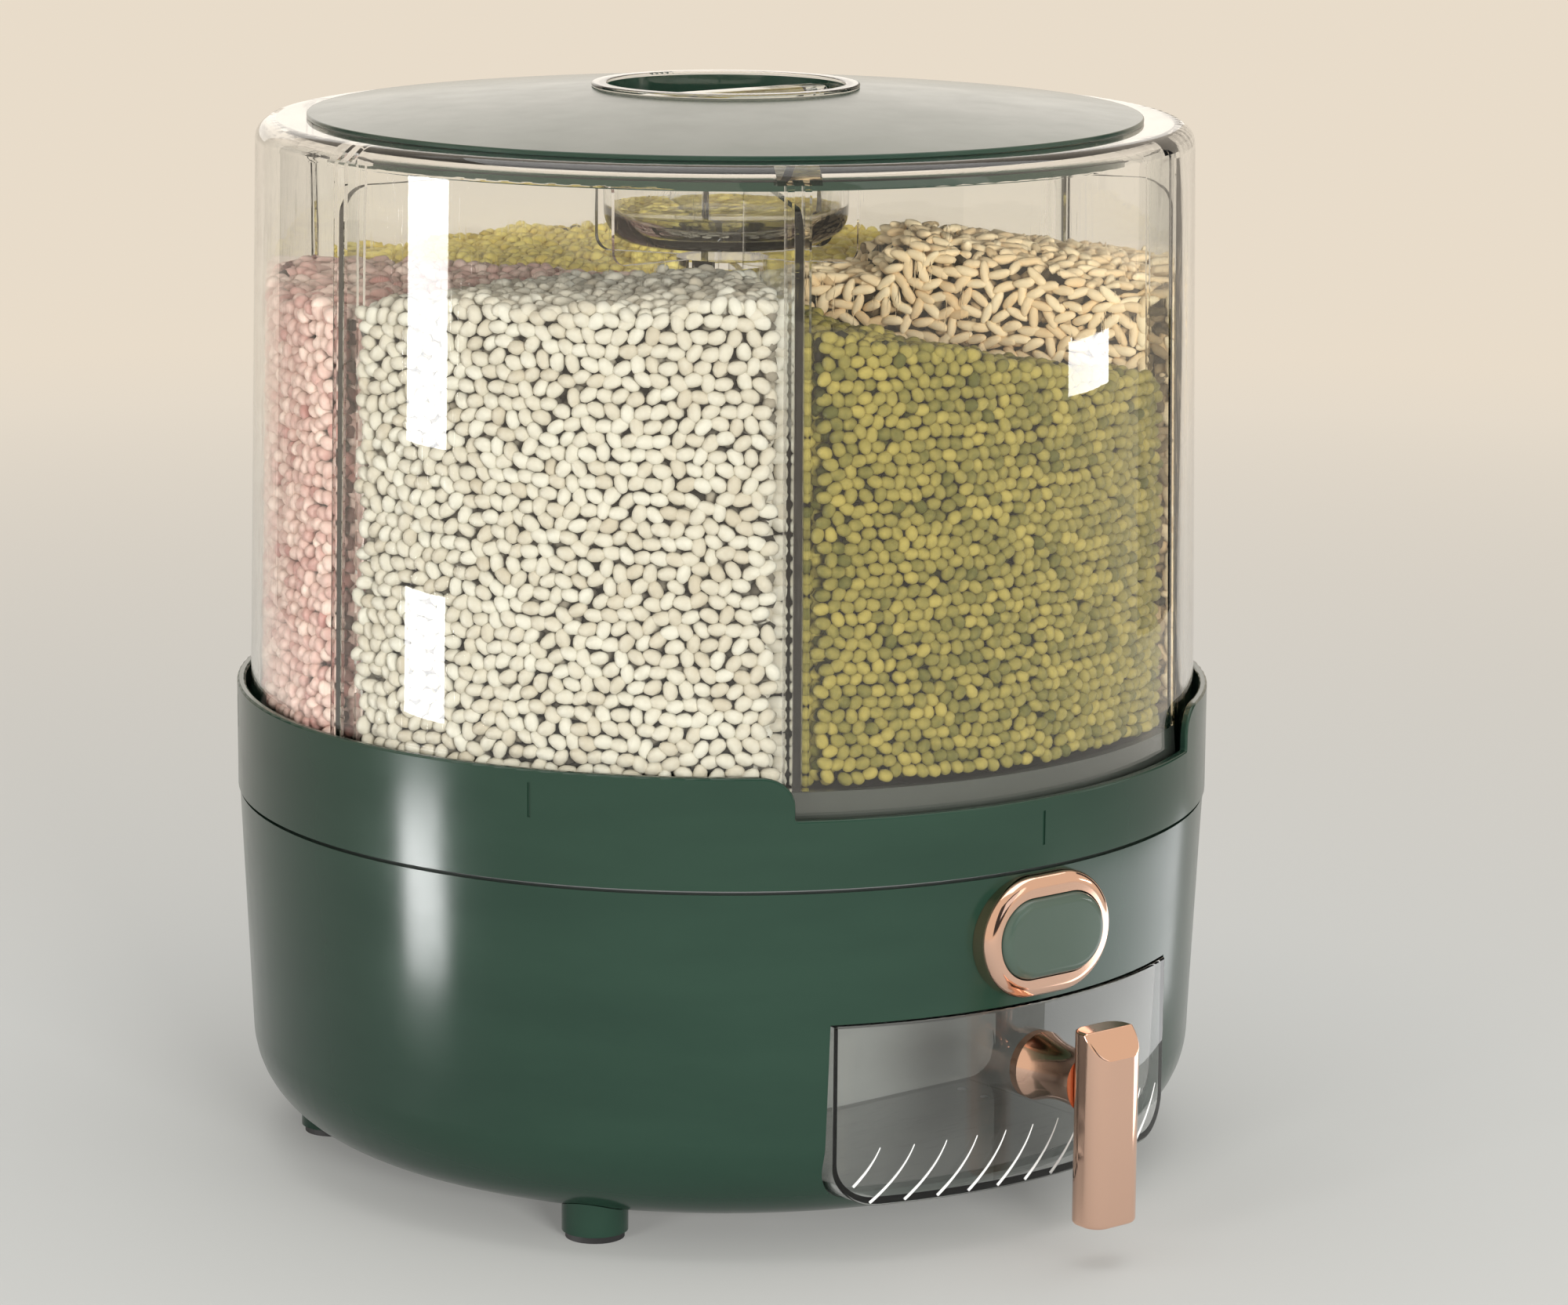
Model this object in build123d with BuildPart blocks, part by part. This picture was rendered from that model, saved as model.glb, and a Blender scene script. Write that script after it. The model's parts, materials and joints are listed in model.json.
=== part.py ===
from build123d import *
from math import asin, cos, degrees, pi, radians, sin, sqrt
import os

# Rotating grain dispenser: a clear drum with six compartments turns on a green base. A button at the
# front swings a gate under the compartment that stands over the outlet, and grain drops into a drawer.
# Millimetres, Z up. The origin lies on the counter under the axis of the drum, and -Y is the front.

# Fits
seat_gap = 0.3  # between seated curved faces
skin_gap = 0.1  # between a trim piece and the curved face behind it
slide_gap = 0.4  # around a piece that slides by hand
pivot_gap = 0.05  # radial, around pins, shafts and screws
turn_gap = 0.8  # between the turning drum and the fixed collar

# Feet
foot_height = 8.0  # from the counter to the underside of the base
foot_radius = 9.2
foot_inset = 21.6  # from the base's drafted side to the middle of a foot
foot_angle = 56.0  # of the front feet from the front, and of the rear feet from the back
foot_peg_radius = 3.5
foot_peg_length = 6.0  # above the inside of the base
pad_thickness = 2.0
pad_inset = 1.0

# Base shell
base_top_radius = 139.9
base_draft = 4.3  # by which the side, drawn down to the underside, is smaller there
base_over_button = 17.4  # from the middle of the button to the top of the base
base_curve = 27.0
base_wall = 3.0
lip_width = 10.0
ledge_width = 6.0
ledge_thickness = 3.0
floor_plate_inset = 4.6  # inside the end of the base's curve
floor_plate_thickness = 2.5

# Collar
seam_gap = 1.2
collar_proud = 0.5
collar_wall = 2.4
collar_rise = 32.0  # above the top of the base
collar_flange = 3.0
collar_flange_width = 14.5
window_half_angle = 30.3
window_depth = 11.9
window_corner = 8.0
collar_edge_round = 0.6
tick_width = 0.9
tick_depth = 0.5
tick_height = 9.5
tick_drop = 3.5  # from the collar's edge to a tick

# Deck, turntable and outlet
deck_sink = 1.0  # underside of the deck below the top of the base
deck_thickness = 4.6
compartments = 6
turntable_gap = 2.4  # between the deck and the drum's floor
race_inset = 39.9  # from the base's top edge to the middle of the race
race_clearance = 0.25
ball_radius = 3.0
ball_count = 12
cage_width = 13.0
cage_thickness = 1.2
cage_pocket_gap = 0.2
outlet_inset = 28.0  # from the race to the middle of the outlet
outlet_width = 28.0
outlet_depth = 18.0
outlet_corner = 4.0
port_margin = 1.0  # by which the drum's ports are larger than the outlet, on each side
grommet_width = 6.5  # of the soft lining in the deck's port
seal_width = 4.0
seal_height = 2.0
spindle_radius = 6.0
spindle_flange_radius = 14.0
spindle_flange = 3.0
spindle_head_gap = 0.4  # end play of the drum under the washer
bush_radius = 8.0
washer_radius = 10.0
washer_thickness = 1.5

# Screws
screw_radius = 1.5
screw_head_radius = 2.8
screw_head_height = 1.8
screw_end_gap = 0.8  # from a screw's tip to the far face of what it bites
cross_length = 3.2
cross_width = 0.8
cross_depth = 0.9
centre_screw_radius = 2.0
centre_screw_head_radius = 4.0
centre_screw_head_height = 2.6
centre_screw_length = 14.0
ring_screw_count = 6

# Drum floor
floor_sheet = 3.0
trough_reach_in = 20.0  # from the middle of the outlet towards the axis
trough_reach_out = 16.0
race_pad = 6.0  # half the width of the pad over the balls
rim_drop = 5.4  # below the top of the collar
rim_width = 2.6
drum_flange = 1.8
hub_radius = 16.0
hub_rise = 10.6  # above the trough

# Barrel
drum_gap = 1.1  # between the barrel and the collar
drum_rise = 193.1  # from the top of the base to the top of the mouth
barrel_draft = 3.6
barrel_wall = 2.6
mouth_ring = 3.0
mouth_ring_width = 18.8
shoulder_radius = 6.0
rib_thickness = 1.8
rib_depth = 6.0
rib_bite = 0.8  # of a rib into the wall
rib_cap_width = 12.0
rib_cap_height = 2.2

# Divider
blade_thickness = 2.2
blade_gap = 0.3  # between a blade and its guide ribs
blade_drop = 11.5  # below the top of the mouth
blade_corner = 8.0
blade_notch_gap = 4.5  # around the lid's well
tube_radius = 14.0
tube_wall = 2.4

# Lid
lid_overlap = 4.3  # onto the mouth ring
lid_edge = 1.4
lid_rise = 7.2  # from the edge's top to the rim of the well
lid_edge_round = 0.5
lid_crown = 0.5
lid_wall = 2.4
plug_depth = 8.5  # below the mouth ring's top
plug_wall = 2.6
plug_gap = 1.5  # between the plug and the mouth
seal_bite = 0.8
lid_seal_height = 3.0
lid_seal_drop = 0.8  # from the mouth ring's top to the seal
lid_seal_round = 0.6
well_radius = 36.0
well_draft = 1.0
well_depth = 44.0
well_wall = 2.0
well_floor = 4.0
well_curve = 9.0
well_rim = 2.2
well_rim_height = 1.1
well_sleeve = 2.4
well_sleeve_depth = 7.0
grip_width = 12.0
grip_height = 9.0
grip_drop = 2.4  # below the rim of the well
grip_round = 3.0
grip_pin_radius = 1.5
grip_pin_length = 7.0

# Drawer
drawer_half_width = 60.6
drawer_rise = 50.9
drawer_corner = 12.0
drawer_reach_in = 18.0  # from the middle of the outlet towards the axis
drawer_front_inset = 0.9  # inside the base's top edge
drawer_rear_drop = 10.0  # by which the rim falls to the back
drawer_level_rim = 20.0  # length of the rim at the front that does not fall
cup_wall = 2.2
cup_edge_round = 0.8
bay_wall = 2.2
bay_screw_side = 20.0  # from the drawer's side
bay_screw_near = 8.0  # from the drawer's back
bay_screw_far = 18.0

# Handle
handle_drop = 17.5  # from the drawer's rim to the stem
stem_foot_radius = 9.6
stem_foot_length = 2.4
stem_waist_radius = 7.6
stem_head_radius = 8.8
spigot_radius = 4.0
spigot_length = 6.0
stem_length = 22.0
bar_depth = 12.5
bar_width = 17.5
bar_reach = 4.6  # below the drawer
bar_drop = 1.2  # below the drawer's rim
bar_bevel_height = 7.0
bar_bevel_depth = 5.5
bar_side_round = 5.0
bar_edge_round = 1.2
bar_top_round = 0.8
handle_screw_length = 14.0

# Button
button_lift = 20.0  # from the drawer's rim to the middle of the button
button_width = 36.4
button_rise = 22.4
button_proud = 7.5
button_length = 11.0
button_round = 2.5
button_wall = 2.2
button_front_wall = 3.0
button_travel = 6.0
head_length = 5.5
head_gap = 0.2
bezel_width = 45.0
bezel_rise = 34.0
bezel_proud = 5.5
bezel_round = 3.2
bezel_neck = 1.5
bezel_neck_length = 8.0  # behind the base's surface
rod_radius = 4.0
tip_radius = 1.0
tip_length = 3.5
rod_flange_radius = 8.0
rod_flange = 2.0
spring_length = 18.0
spring_wire = 0.7
spring_turns = 5
spring_clear = 0.8
bracket_thickness = 3.0
bracket_half_width = 12.0
bracket_top_margin = 4.0
bracket_foot_length = 14.0
bracket_foot = 2.5
clip_radius = 6.5
clip_thickness = 1.2

# Gate
gate_arm = 10.0
gate_nose_radius = 2.2
gate_plate = 2.0
gate_pad = 1.0
gate_pad_gap = 0.3
gate_hub_radius = 2.8
gate_arm_half_width = 4.5
gate_pin_radius = 1.5
gate_pin_head_radius = 2.8
gate_pin_head = 1.5
gate_side_gap = 0.4
chute_wall = 2.0
chute_flange = 2.2
chute_flange_margin = 10.0
chute_screw_inset = 5.0
ear_thickness = 3.0
ear_margin = 4.2
ear_rise = 18.0  # above the hinge
arm_chute_gap = 0.8
tip_gap = 0.5
torsion_wire = 0.5
torsion_turns = 4.5
torsion_pitch = 1.5
torsion_start = 6.0  # along the hinge from its middle
heel_width = 4.0
heel_length = 3.0

# Heights that follow
floor_plate_bottom = foot_height + base_wall
floor_plate_top = floor_plate_bottom + floor_plate_thickness
drawer_bottom = floor_plate_top + bay_wall + slide_gap
drawer_top = drawer_bottom + drawer_rise
drawer_rear_top = drawer_top - drawer_rear_drop
bay_roof_top = drawer_top + slide_gap + bay_wall
handle_height = drawer_top - handle_drop
bar_bottom = drawer_bottom - bar_reach
bar_top = drawer_top - bar_drop
button_height = drawer_top + button_lift
base_top = button_height + base_over_button
deck_bottom = base_top - deck_sink
deck_top = deck_bottom + deck_thickness
collar_bottom = base_top + seam_gap
collar_top = base_top + collar_rise
window_sill = collar_top - window_depth
collar_flange_top = deck_top + collar_flange
ball_height = deck_top + turntable_gap / 2
drum_under = deck_top + turntable_gap
trough_top = drum_under + floor_sheet
hub_top = trough_top + hub_rise
rim_top = collar_top - rim_drop
drum_flange_bottom = collar_flange_top + turn_gap
barrel_bottom = drum_flange_bottom + drum_flange
washer_bottom = hub_top + spindle_head_gap
mouth_top = base_top + drum_rise
blade_top = mouth_top - blade_drop
lid_edge_top = mouth_top + lid_edge
lid_top = lid_edge_top + lid_rise
well_bottom = lid_top - well_depth
well_bottom_radius = well_radius - well_draft
well_rim_top = lid_top + skin_gap + well_rim_height
grip_middle = well_rim_top - grip_drop - grip_height / 2

# Radii and distances that follow
base_bottom_radius = base_top_radius - base_draft
floor_plate_radius = base_bottom_radius - base_curve - floor_plate_inset
lip_radius = floor_plate_radius - lip_width
foot_circle = base_bottom_radius - foot_inset
ledge_radius = base_top_radius - base_wall - ledge_width
ledge_screw_circle = ledge_radius + ledge_width / 2 - seat_gap
lip_screw_circle = (lip_radius + floor_plate_radius) / 2
collar_radius = base_top_radius + collar_proud
collar_inside = collar_radius - collar_wall
collar_flange_radius = collar_inside - collar_flange_width
collar_screw_circle = (collar_flange_radius + ledge_radius) / 2
race_radius = base_top_radius - race_inset
race_groove = ball_radius + race_clearance
outlet_distance = race_radius - outlet_inset
trough_inner = outlet_distance - trough_reach_in
trough_outer = outlet_distance + trough_reach_out
barrel_bottom_radius = collar_inside - drum_gap
barrel_top_radius = barrel_bottom_radius - barrel_draft
mouth_radius = barrel_top_radius - mouth_ring_width
lid_radius = mouth_radius + lid_overlap
drawer_back = outlet_distance - drawer_reach_in
drawer_front_radius = base_top_radius - drawer_front_inset
drawer_slope_start = drawer_front_radius - drawer_level_rim
bar_back = drawer_front_radius + stem_length
screw_hole = screw_radius + pivot_gap
tube_inside = tube_radius - tube_wall
plug_radius = mouth_radius - plug_gap
seal_inside = plug_radius - seal_bite
well_hole = well_radius + seat_gap
gate_half_width = outlet_width / 2 + chute_wall - gate_side_gap
chute_front = outlet_distance + outlet_depth / 2 + chute_wall
chute_rear = outlet_distance - outlet_depth / 2 - chute_wall
gate_half_swing = asin(button_travel / 2 / gate_arm)
gate_hinge_distance = chute_front + arm_chute_gap + gate_nose_radius + button_travel / 2
gate_hinge_height = button_height - gate_arm
gate_nose_distance = gate_hinge_distance + button_travel / 2
gate_nose_height = gate_hinge_height + gate_arm * cos(gate_half_swing)
gate_top = gate_hinge_height + gate_plate / 2 + gate_pad
chute_bottom = gate_top + gate_pad_gap
rod_tip = gate_nose_distance + gate_nose_radius + tip_gap
clip_rear = rod_tip + button_travel
bracket_rear = clip_rear + clip_thickness + seat_gap
bracket_front = bracket_rear + bracket_thickness
spring_front = bracket_front + spring_length
divider_angles = [(i + 0.5) * 360 / compartments for i in range(compartments)]
foot_angles = {
    "front_right": foot_angle,
    "front_left": -foot_angle,
    "rear_right": 180 - foot_angle,
    "rear_left": foot_angle - 180,
}


def base_radius_at(height):
    """Outer radius of the base's drafted side."""
    share = (height - foot_height) / (base_top - foot_height)
    return base_bottom_radius + (base_top_radius - base_bottom_radius) * share


def barrel_inside_at(height):
    """Inner radius of the barrel's drafted wall."""
    share = (height - barrel_bottom) / (mouth_top - barrel_bottom)
    outside = barrel_bottom_radius + (barrel_top_radius - barrel_bottom_radius) * share
    return outside - barrel_wall


def around(radius, angle, height):
    """A point at an angle from the front, counted towards +X."""
    return (radius * sin(radians(angle)), -radius * cos(radians(angle)), height)


def radial_plane(angle):
    """A plane through the axis, with its X pointing outwards and its Y up."""
    a = radians(angle)
    return Plane((0, 0, 0), x_dir=(sin(a), -cos(a), 0), z_dir=(-cos(a), -sin(a), 0))


def front_plane(distance):
    """A plane across the front at a distance from the axis, with its normal pointing out to the front."""
    return Plane.XZ.offset(distance)


def base_body(grow):
    """The base's outside as one solid, with its surface moved outwards."""
    with BuildPart() as body:
        with BuildSketch(Plane.XZ):
            with BuildLine():
                side = FilletPolyline(
                    (0, foot_height - grow),
                    (base_bottom_radius + grow, foot_height - grow),
                    (base_top_radius + grow, base_top),
                    radius=base_curve + grow,
                )
                Polyline(side @ 1, (0, base_top), side @ 0)
            make_face()
        revolve(axis=Axis.Z)
    return body.part


def drawer_block(grow, front_radius, top):
    """The drawer's space, grown on its sides, bottom and back, with a round front."""
    with BuildPart() as block:
        with BuildSketch(front_plane(drawer_back - grow)) as view:
            with Locations((0, (drawer_bottom - grow + top) / 2)):
                Rectangle(2 * (drawer_half_width + grow), top - drawer_bottom + grow)
            fillet(view.vertices().group_by(Axis.Y)[0], drawer_corner + grow)
        extrude(amount=front_radius)
        with BuildSketch():
            Circle(front_radius)
        extrude(amount=base_top, mode=Mode.INTERSECT)
    return block.part


def screw_group(places, length, direction=1):
    """Screws with a cross recess, each with its seat on a place and its shank along Z."""
    with BuildPart() as group:
        for place in places:
            seat = Plane(place, x_dir=(1, 0, 0), z_dir=(0, 0, direction))
            with BuildSketch(seat):
                Circle(screw_radius)
            extrude(amount=length)
            with BuildSketch(seat):
                Circle(screw_head_radius)
            extrude(amount=-screw_head_height)
            with BuildSketch(seat.offset(-screw_head_height)):
                Rectangle(cross_length, cross_width)
                Rectangle(cross_width, cross_length)
            extrude(amount=cross_depth, mode=Mode.SUBTRACT)
    return group.part


def coil_path(plane, radius, pitch, turns, first_angle, leg):
    """A helix about the plane's Z, from pairs of tangent arcs for each quarter turn, with straight legs."""
    quarters = round(4 * turns)
    points, tangents = [], []
    for i in range(quarters + 1):
        a = radians(first_angle) + i * pi / 2
        lead = pitch / (2 * pi)
        points.append(Vector(radius * cos(a), radius * sin(a), lead * i * pi / 2))
        tangents.append(Vector(-radius * sin(a), radius * cos(a), lead).normalized())
    with BuildLine() as path:
        if leg:
            Line(*[plane.from_local_coords(points[0] - tangents[0] * s) for s in (leg, 0)])
        for p, q, u, v in zip(points, points[1:], tangents, tangents[1:]):
            chord, both = q - p, u + v
            square = both.dot(both) - 4
            along = chord.dot(both)
            reach = (along - sqrt(along**2 - square * chord.dot(chord))) / square
            near, far = p + u * reach, q - v * reach
            joint = (near + far) * 0.5
            for start, end, heading in ((p, joint, u), (joint, q, far - near)):
                TangentArc(
                    plane.from_local_coords(start),
                    plane.from_local_coords(end),
                    tangent=plane.from_local_coords(heading) - plane.origin,
                )
        if leg:
            Line(*[plane.from_local_coords(points[-1] + tangents[-1] * s) for s in (0, leg)])
    return path.wires()[0]


os.makedirs("parts", exist_ok=True)
ring_angles = [360 / ring_screw_count * i for i in range(ring_screw_count)]
half_step = 180 / ring_screw_count
lip_screw_places = [around(lip_screw_circle, a + half_step, foot_height) for a in ring_angles]
ledge_screw_places = [
    around(ledge_screw_circle, a + half_step, deck_bottom - ledge_thickness) for a in ring_angles
]
collar_screw_places = [around(collar_screw_circle, a, deck_bottom) for a in ring_angles]
bay_screw_places = [
    (side * (drawer_half_width - bay_screw_side), -drawer_back - distance, floor_plate_bottom)
    for side in (-1, 1)
    for distance in (bay_screw_near, bay_screw_far)
]
chute_flange_width = outlet_width + 2 * chute_wall + 2 * chute_flange_margin
chute_flange_depth = outlet_depth + 2 * chute_wall + 2 * chute_flange_margin
chute_screw_places = [
    (
        side * (chute_flange_width / 2 - chute_screw_inset),
        -outlet_distance + end * (chute_flange_depth / 2 - chute_screw_inset),
        deck_bottom - chute_flange,
    )
    for side in (-1, 1)
    for end in (-1, 1)
]
bracket_foot_top = bay_roof_top + bracket_foot
bracket_screw_places = [
    (side * bracket_half_width / 2, -bracket_front - bracket_foot_length / 2, bracket_foot_top)
    for side in (-1, 1)
]

# Base shell
with BuildPart() as base_shell:
    add(base_body(0))
    add(base_body(-base_wall), mode=Mode.SUBTRACT)
    with BuildSketch(Plane.XY.offset(foot_height)):
        Circle(lip_radius)
    extrude(amount=base_wall, mode=Mode.SUBTRACT)
    with BuildSketch(Plane.XY.offset(deck_bottom - ledge_thickness)):
        Circle(base_top_radius - base_wall / 2)
        Circle(ledge_radius, mode=Mode.SUBTRACT)
    extrude(amount=ledge_thickness)
    add(drawer_block(slide_gap, 2 * base_top_radius, drawer_top + slide_gap), mode=Mode.SUBTRACT)
    with BuildSketch(front_plane(base_bottom_radius / 2)):
        with Locations((0, button_height)):
            SlotOverall(
                button_width + 2 * (seat_gap + bezel_neck + skin_gap),
                button_rise + 2 * (seat_gap + bezel_neck + skin_gap),
            )
    extrude(amount=base_top_radius, mode=Mode.SUBTRACT)
    with BuildSketch(Plane.XY.offset(foot_height)):
        with Locations(lip_screw_places):
            Circle(screw_hole)
        with Locations([around(foot_circle, a, 0) for a in foot_angles.values()]):
            Circle(foot_peg_radius + pivot_gap)
    extrude(amount=base_curve, mode=Mode.SUBTRACT)
    with BuildSketch(Plane.XY.offset(deck_bottom - ledge_thickness)):
        with Locations(ledge_screw_places):
            Circle(screw_hole)
    extrude(amount=ledge_thickness, mode=Mode.SUBTRACT)
base_shell.part.label = "base_shell"
export_step(base_shell.part, "parts/base_shell.step")

# Floor plate that closes the base from below
with BuildPart() as base_floor:
    with BuildSketch(Plane.XY.offset(floor_plate_bottom)):
        Circle(floor_plate_radius)
        with Locations(lip_screw_places + bay_screw_places):
            Circle(screw_hole, mode=Mode.SUBTRACT)
    extrude(amount=floor_plate_thickness)
base_floor.part.label = "base_floor"
export_step(base_floor.part, "parts/base_floor.step")

base_screws = screw_group(lip_screw_places, base_wall + floor_plate_thickness - screw_end_gap)
base_screws.label = "base_screws"
export_step(base_screws, "parts/base_screws.step")

# Feet, each cut to the base's curve and pegged into it, with a rubber pad
base_skin = base_body(skin_gap)
for corner, angle in foot_angles.items():
    with BuildPart() as foot:
        with BuildSketch(Plane(around(foot_circle, angle, pad_thickness))):
            Circle(foot_radius)
        extrude(amount=foot_height + base_curve)
        add(base_skin, mode=Mode.SUBTRACT)
        foot_block = foot.solids().sort_by(Axis.Z)[0]
    with BuildPart() as pegged_foot:
        add(foot_block)
        with BuildSketch(Plane(around(foot_circle, angle, pad_thickness))):
            Circle(foot_peg_radius)
        extrude(amount=floor_plate_bottom + foot_peg_length - pad_thickness)
    pegged_foot.part.label = f"foot_{corner}"
    export_step(pegged_foot.part, f"parts/foot_{corner}.step")
    with BuildPart() as foot_pad:
        with BuildSketch(Plane(around(foot_circle, angle, 0))):
            Circle(foot_radius - pad_inset)
        extrude(amount=pad_thickness)
    foot_pad.part.label = f"foot_pad_{corner}"
    export_step(foot_pad.part, f"parts/foot_pad_{corner}.step")

# Collar, cut down over the front compartment
with BuildPart() as collar:
    with BuildSketch(Plane.XZ):
        with BuildLine():
            Polyline(
                (collar_radius, collar_bottom),
                (collar_radius, collar_top),
                (collar_inside, collar_top),
                (collar_inside, collar_flange_top),
                (collar_flange_radius, collar_flange_top),
                (collar_flange_radius, deck_top),
                (collar_inside, deck_top),
                (collar_inside, collar_bottom),
                close=True,
            )
        make_face()
    revolve(axis=Axis.Z)
    window_half = collar_radius * sin(radians(window_half_angle))
    with BuildSketch(Plane.XZ):
        with BuildLine():
            corner_start = (window_half, collar_top - window_corner)
            corner_arc = JernArc(corner_start, (0, 1), window_corner, -90)
            Polyline(
                corner_arc @ 1,
                (0, collar_top),
                (0, window_sill),
                (window_half, window_sill),
                corner_start,
            )
        make_face()
        mirror(about=Plane.YZ)
    extrude(amount=2 * collar_radius, mode=Mode.SUBTRACT)
    upper_edges = collar.edges().filter_by(lambda e: e.center().Z > window_sill - seat_gap)
    fillet(upper_edges, collar_edge_round)
    for i in range(compartments):
        edge = window_sill if i == 0 else collar_top
        tick = radial_plane(360 / compartments * i)
        with BuildSketch(tick):
            with Locations((collar_radius, edge - tick_drop - tick_height / 2)):
                Rectangle(2 * tick_depth, tick_height)
        extrude(amount=tick_width / 2, both=True, mode=Mode.SUBTRACT)
    with BuildSketch(Plane.XY.offset(deck_top)):
        with Locations(collar_screw_places):
            Circle(screw_hole)
    extrude(amount=collar_flange - screw_end_gap / 2, mode=Mode.SUBTRACT)
collar.part.label = "collar"
export_step(collar.part, "parts/collar.step")

collar_screws = screw_group(collar_screw_places, deck_thickness + collar_flange - screw_end_gap)
collar_screws.label = "collar_screws"
export_step(collar_screws, "parts/collar_screws.step")

# Deck with the outlet and the lower ball race
with BuildPart() as deck:
    with BuildSketch(Plane.XY.offset(deck_bottom)):
        Circle(base_radius_at(deck_bottom) - base_wall - seat_gap)
        Circle(spindle_radius + pivot_gap, mode=Mode.SUBTRACT)
        with Locations((0, -outlet_distance)):
            RectangleRounded(
                outlet_width + 2 * grommet_width,
                outlet_depth + 2 * grommet_width,
                outlet_corner + grommet_width,
                mode=Mode.SUBTRACT,
            )
        with Locations(collar_screw_places):
            Circle(screw_hole, mode=Mode.SUBTRACT)
    extrude(amount=deck_thickness)
    with BuildSketch(Plane.XZ):
        with Locations((race_radius, ball_height)):
            Circle(race_groove)
    revolve(axis=Axis.Z, mode=Mode.SUBTRACT)
    with BuildSketch(Plane.XY.offset(deck_bottom)):
        with Locations(ledge_screw_places + chute_screw_places):
            Circle(screw_hole)
    extrude(amount=deck_thickness - screw_end_gap / 2, mode=Mode.SUBTRACT)
deck.part.label = "deck"
export_step(deck.part, "parts/deck.step")

deck_screws = screw_group(ledge_screw_places, ledge_thickness + deck_thickness - screw_end_gap)
deck_screws.label = "deck_screws"
export_step(deck_screws, "parts/deck_screws.step")

# Soft lining of the deck's port, which stands on the chute and ends just under the drum's floor
grommet_reach = grommet_width - seat_gap
with BuildPart() as outlet_seal:
    with BuildSketch(Plane.XY.offset(deck_bottom)):
        with Locations((0, -outlet_distance)):
            RectangleRounded(
                outlet_width + 2 * grommet_reach,
                outlet_depth + 2 * grommet_reach,
                outlet_corner + grommet_reach,
            )
            RectangleRounded(outlet_width, outlet_depth, outlet_corner, mode=Mode.SUBTRACT)
    extrude(amount=deck_thickness)
    with BuildSketch(Plane.XY.offset(deck_top)):
        with Locations((0, -outlet_distance)):
            RectangleRounded(
                outlet_width + 2 * seal_width,
                outlet_depth + 2 * seal_width,
                outlet_corner + seal_width,
            )
            RectangleRounded(outlet_width, outlet_depth, outlet_corner, mode=Mode.SUBTRACT)
    extrude(amount=seal_height)
outlet_seal.part.label = "outlet_seal"
export_step(outlet_seal.part, "parts/outlet_seal.step")

# Spindle with its washer and screw
with BuildPart() as spindle:
    with BuildSketch(Plane.XY.offset(deck_bottom - spindle_flange)):
        Circle(spindle_flange_radius)
    extrude(amount=spindle_flange)
    with BuildSketch(Plane.XY.offset(deck_bottom - spindle_flange)):
        Circle(spindle_radius)
    extrude(amount=washer_bottom - deck_bottom + spindle_flange)
    with BuildSketch(Plane.XY.offset(washer_bottom)):
        Circle(centre_screw_radius + pivot_gap)
    extrude(amount=-centre_screw_length - screw_end_gap, mode=Mode.SUBTRACT)
spindle.part.label = "spindle"
export_step(spindle.part, "parts/spindle.step")

with BuildPart() as spindle_washer:
    with BuildSketch(Plane.XY.offset(washer_bottom)):
        Circle(washer_radius)
        Circle(centre_screw_radius + pivot_gap, mode=Mode.SUBTRACT)
    extrude(amount=washer_thickness)
spindle_washer.part.label = "spindle_washer"
export_step(spindle_washer.part, "parts/spindle_washer.step")

with BuildPart() as spindle_screw:
    screw_seat = Plane.XY.offset(washer_bottom + washer_thickness)
    with BuildSketch(screw_seat):
        Circle(centre_screw_radius)
    extrude(amount=-centre_screw_length)
    with BuildSketch(screw_seat):
        Circle(centre_screw_head_radius)
    extrude(amount=centre_screw_head_height)
    with BuildSketch(screw_seat.offset(centre_screw_head_height)):
        Rectangle(cross_length, cross_width)
        Rectangle(cross_width, cross_length)
    extrude(amount=-cross_depth, mode=Mode.SUBTRACT)
spindle_screw.part.label = "spindle_screw"
export_step(spindle_screw.part, "parts/spindle_screw.step")

# Balls and their cage
ball_angles = [360 / ball_count * i for i in range(ball_count)]
with BuildPart() as bearing_balls:
    with Locations([around(race_radius, a, ball_height) for a in ball_angles]):
        Sphere(ball_radius)
bearing_balls.part.label = "bearing_balls"
export_step(bearing_balls.part, "parts/bearing_balls.step")

with BuildPart() as ball_cage:
    with BuildSketch(Plane.XY.offset(ball_height - cage_thickness / 2)):
        Circle(race_radius + cage_width / 2)
        Circle(race_radius - cage_width / 2, mode=Mode.SUBTRACT)
        with Locations([around(race_radius, a, 0) for a in ball_angles]):
            Circle(ball_radius + cage_pocket_gap, mode=Mode.SUBTRACT)
    extrude(amount=cage_thickness)
ball_cage.part.label = "ball_cage"
export_step(ball_cage.part, "parts/ball_cage.step")

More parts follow.
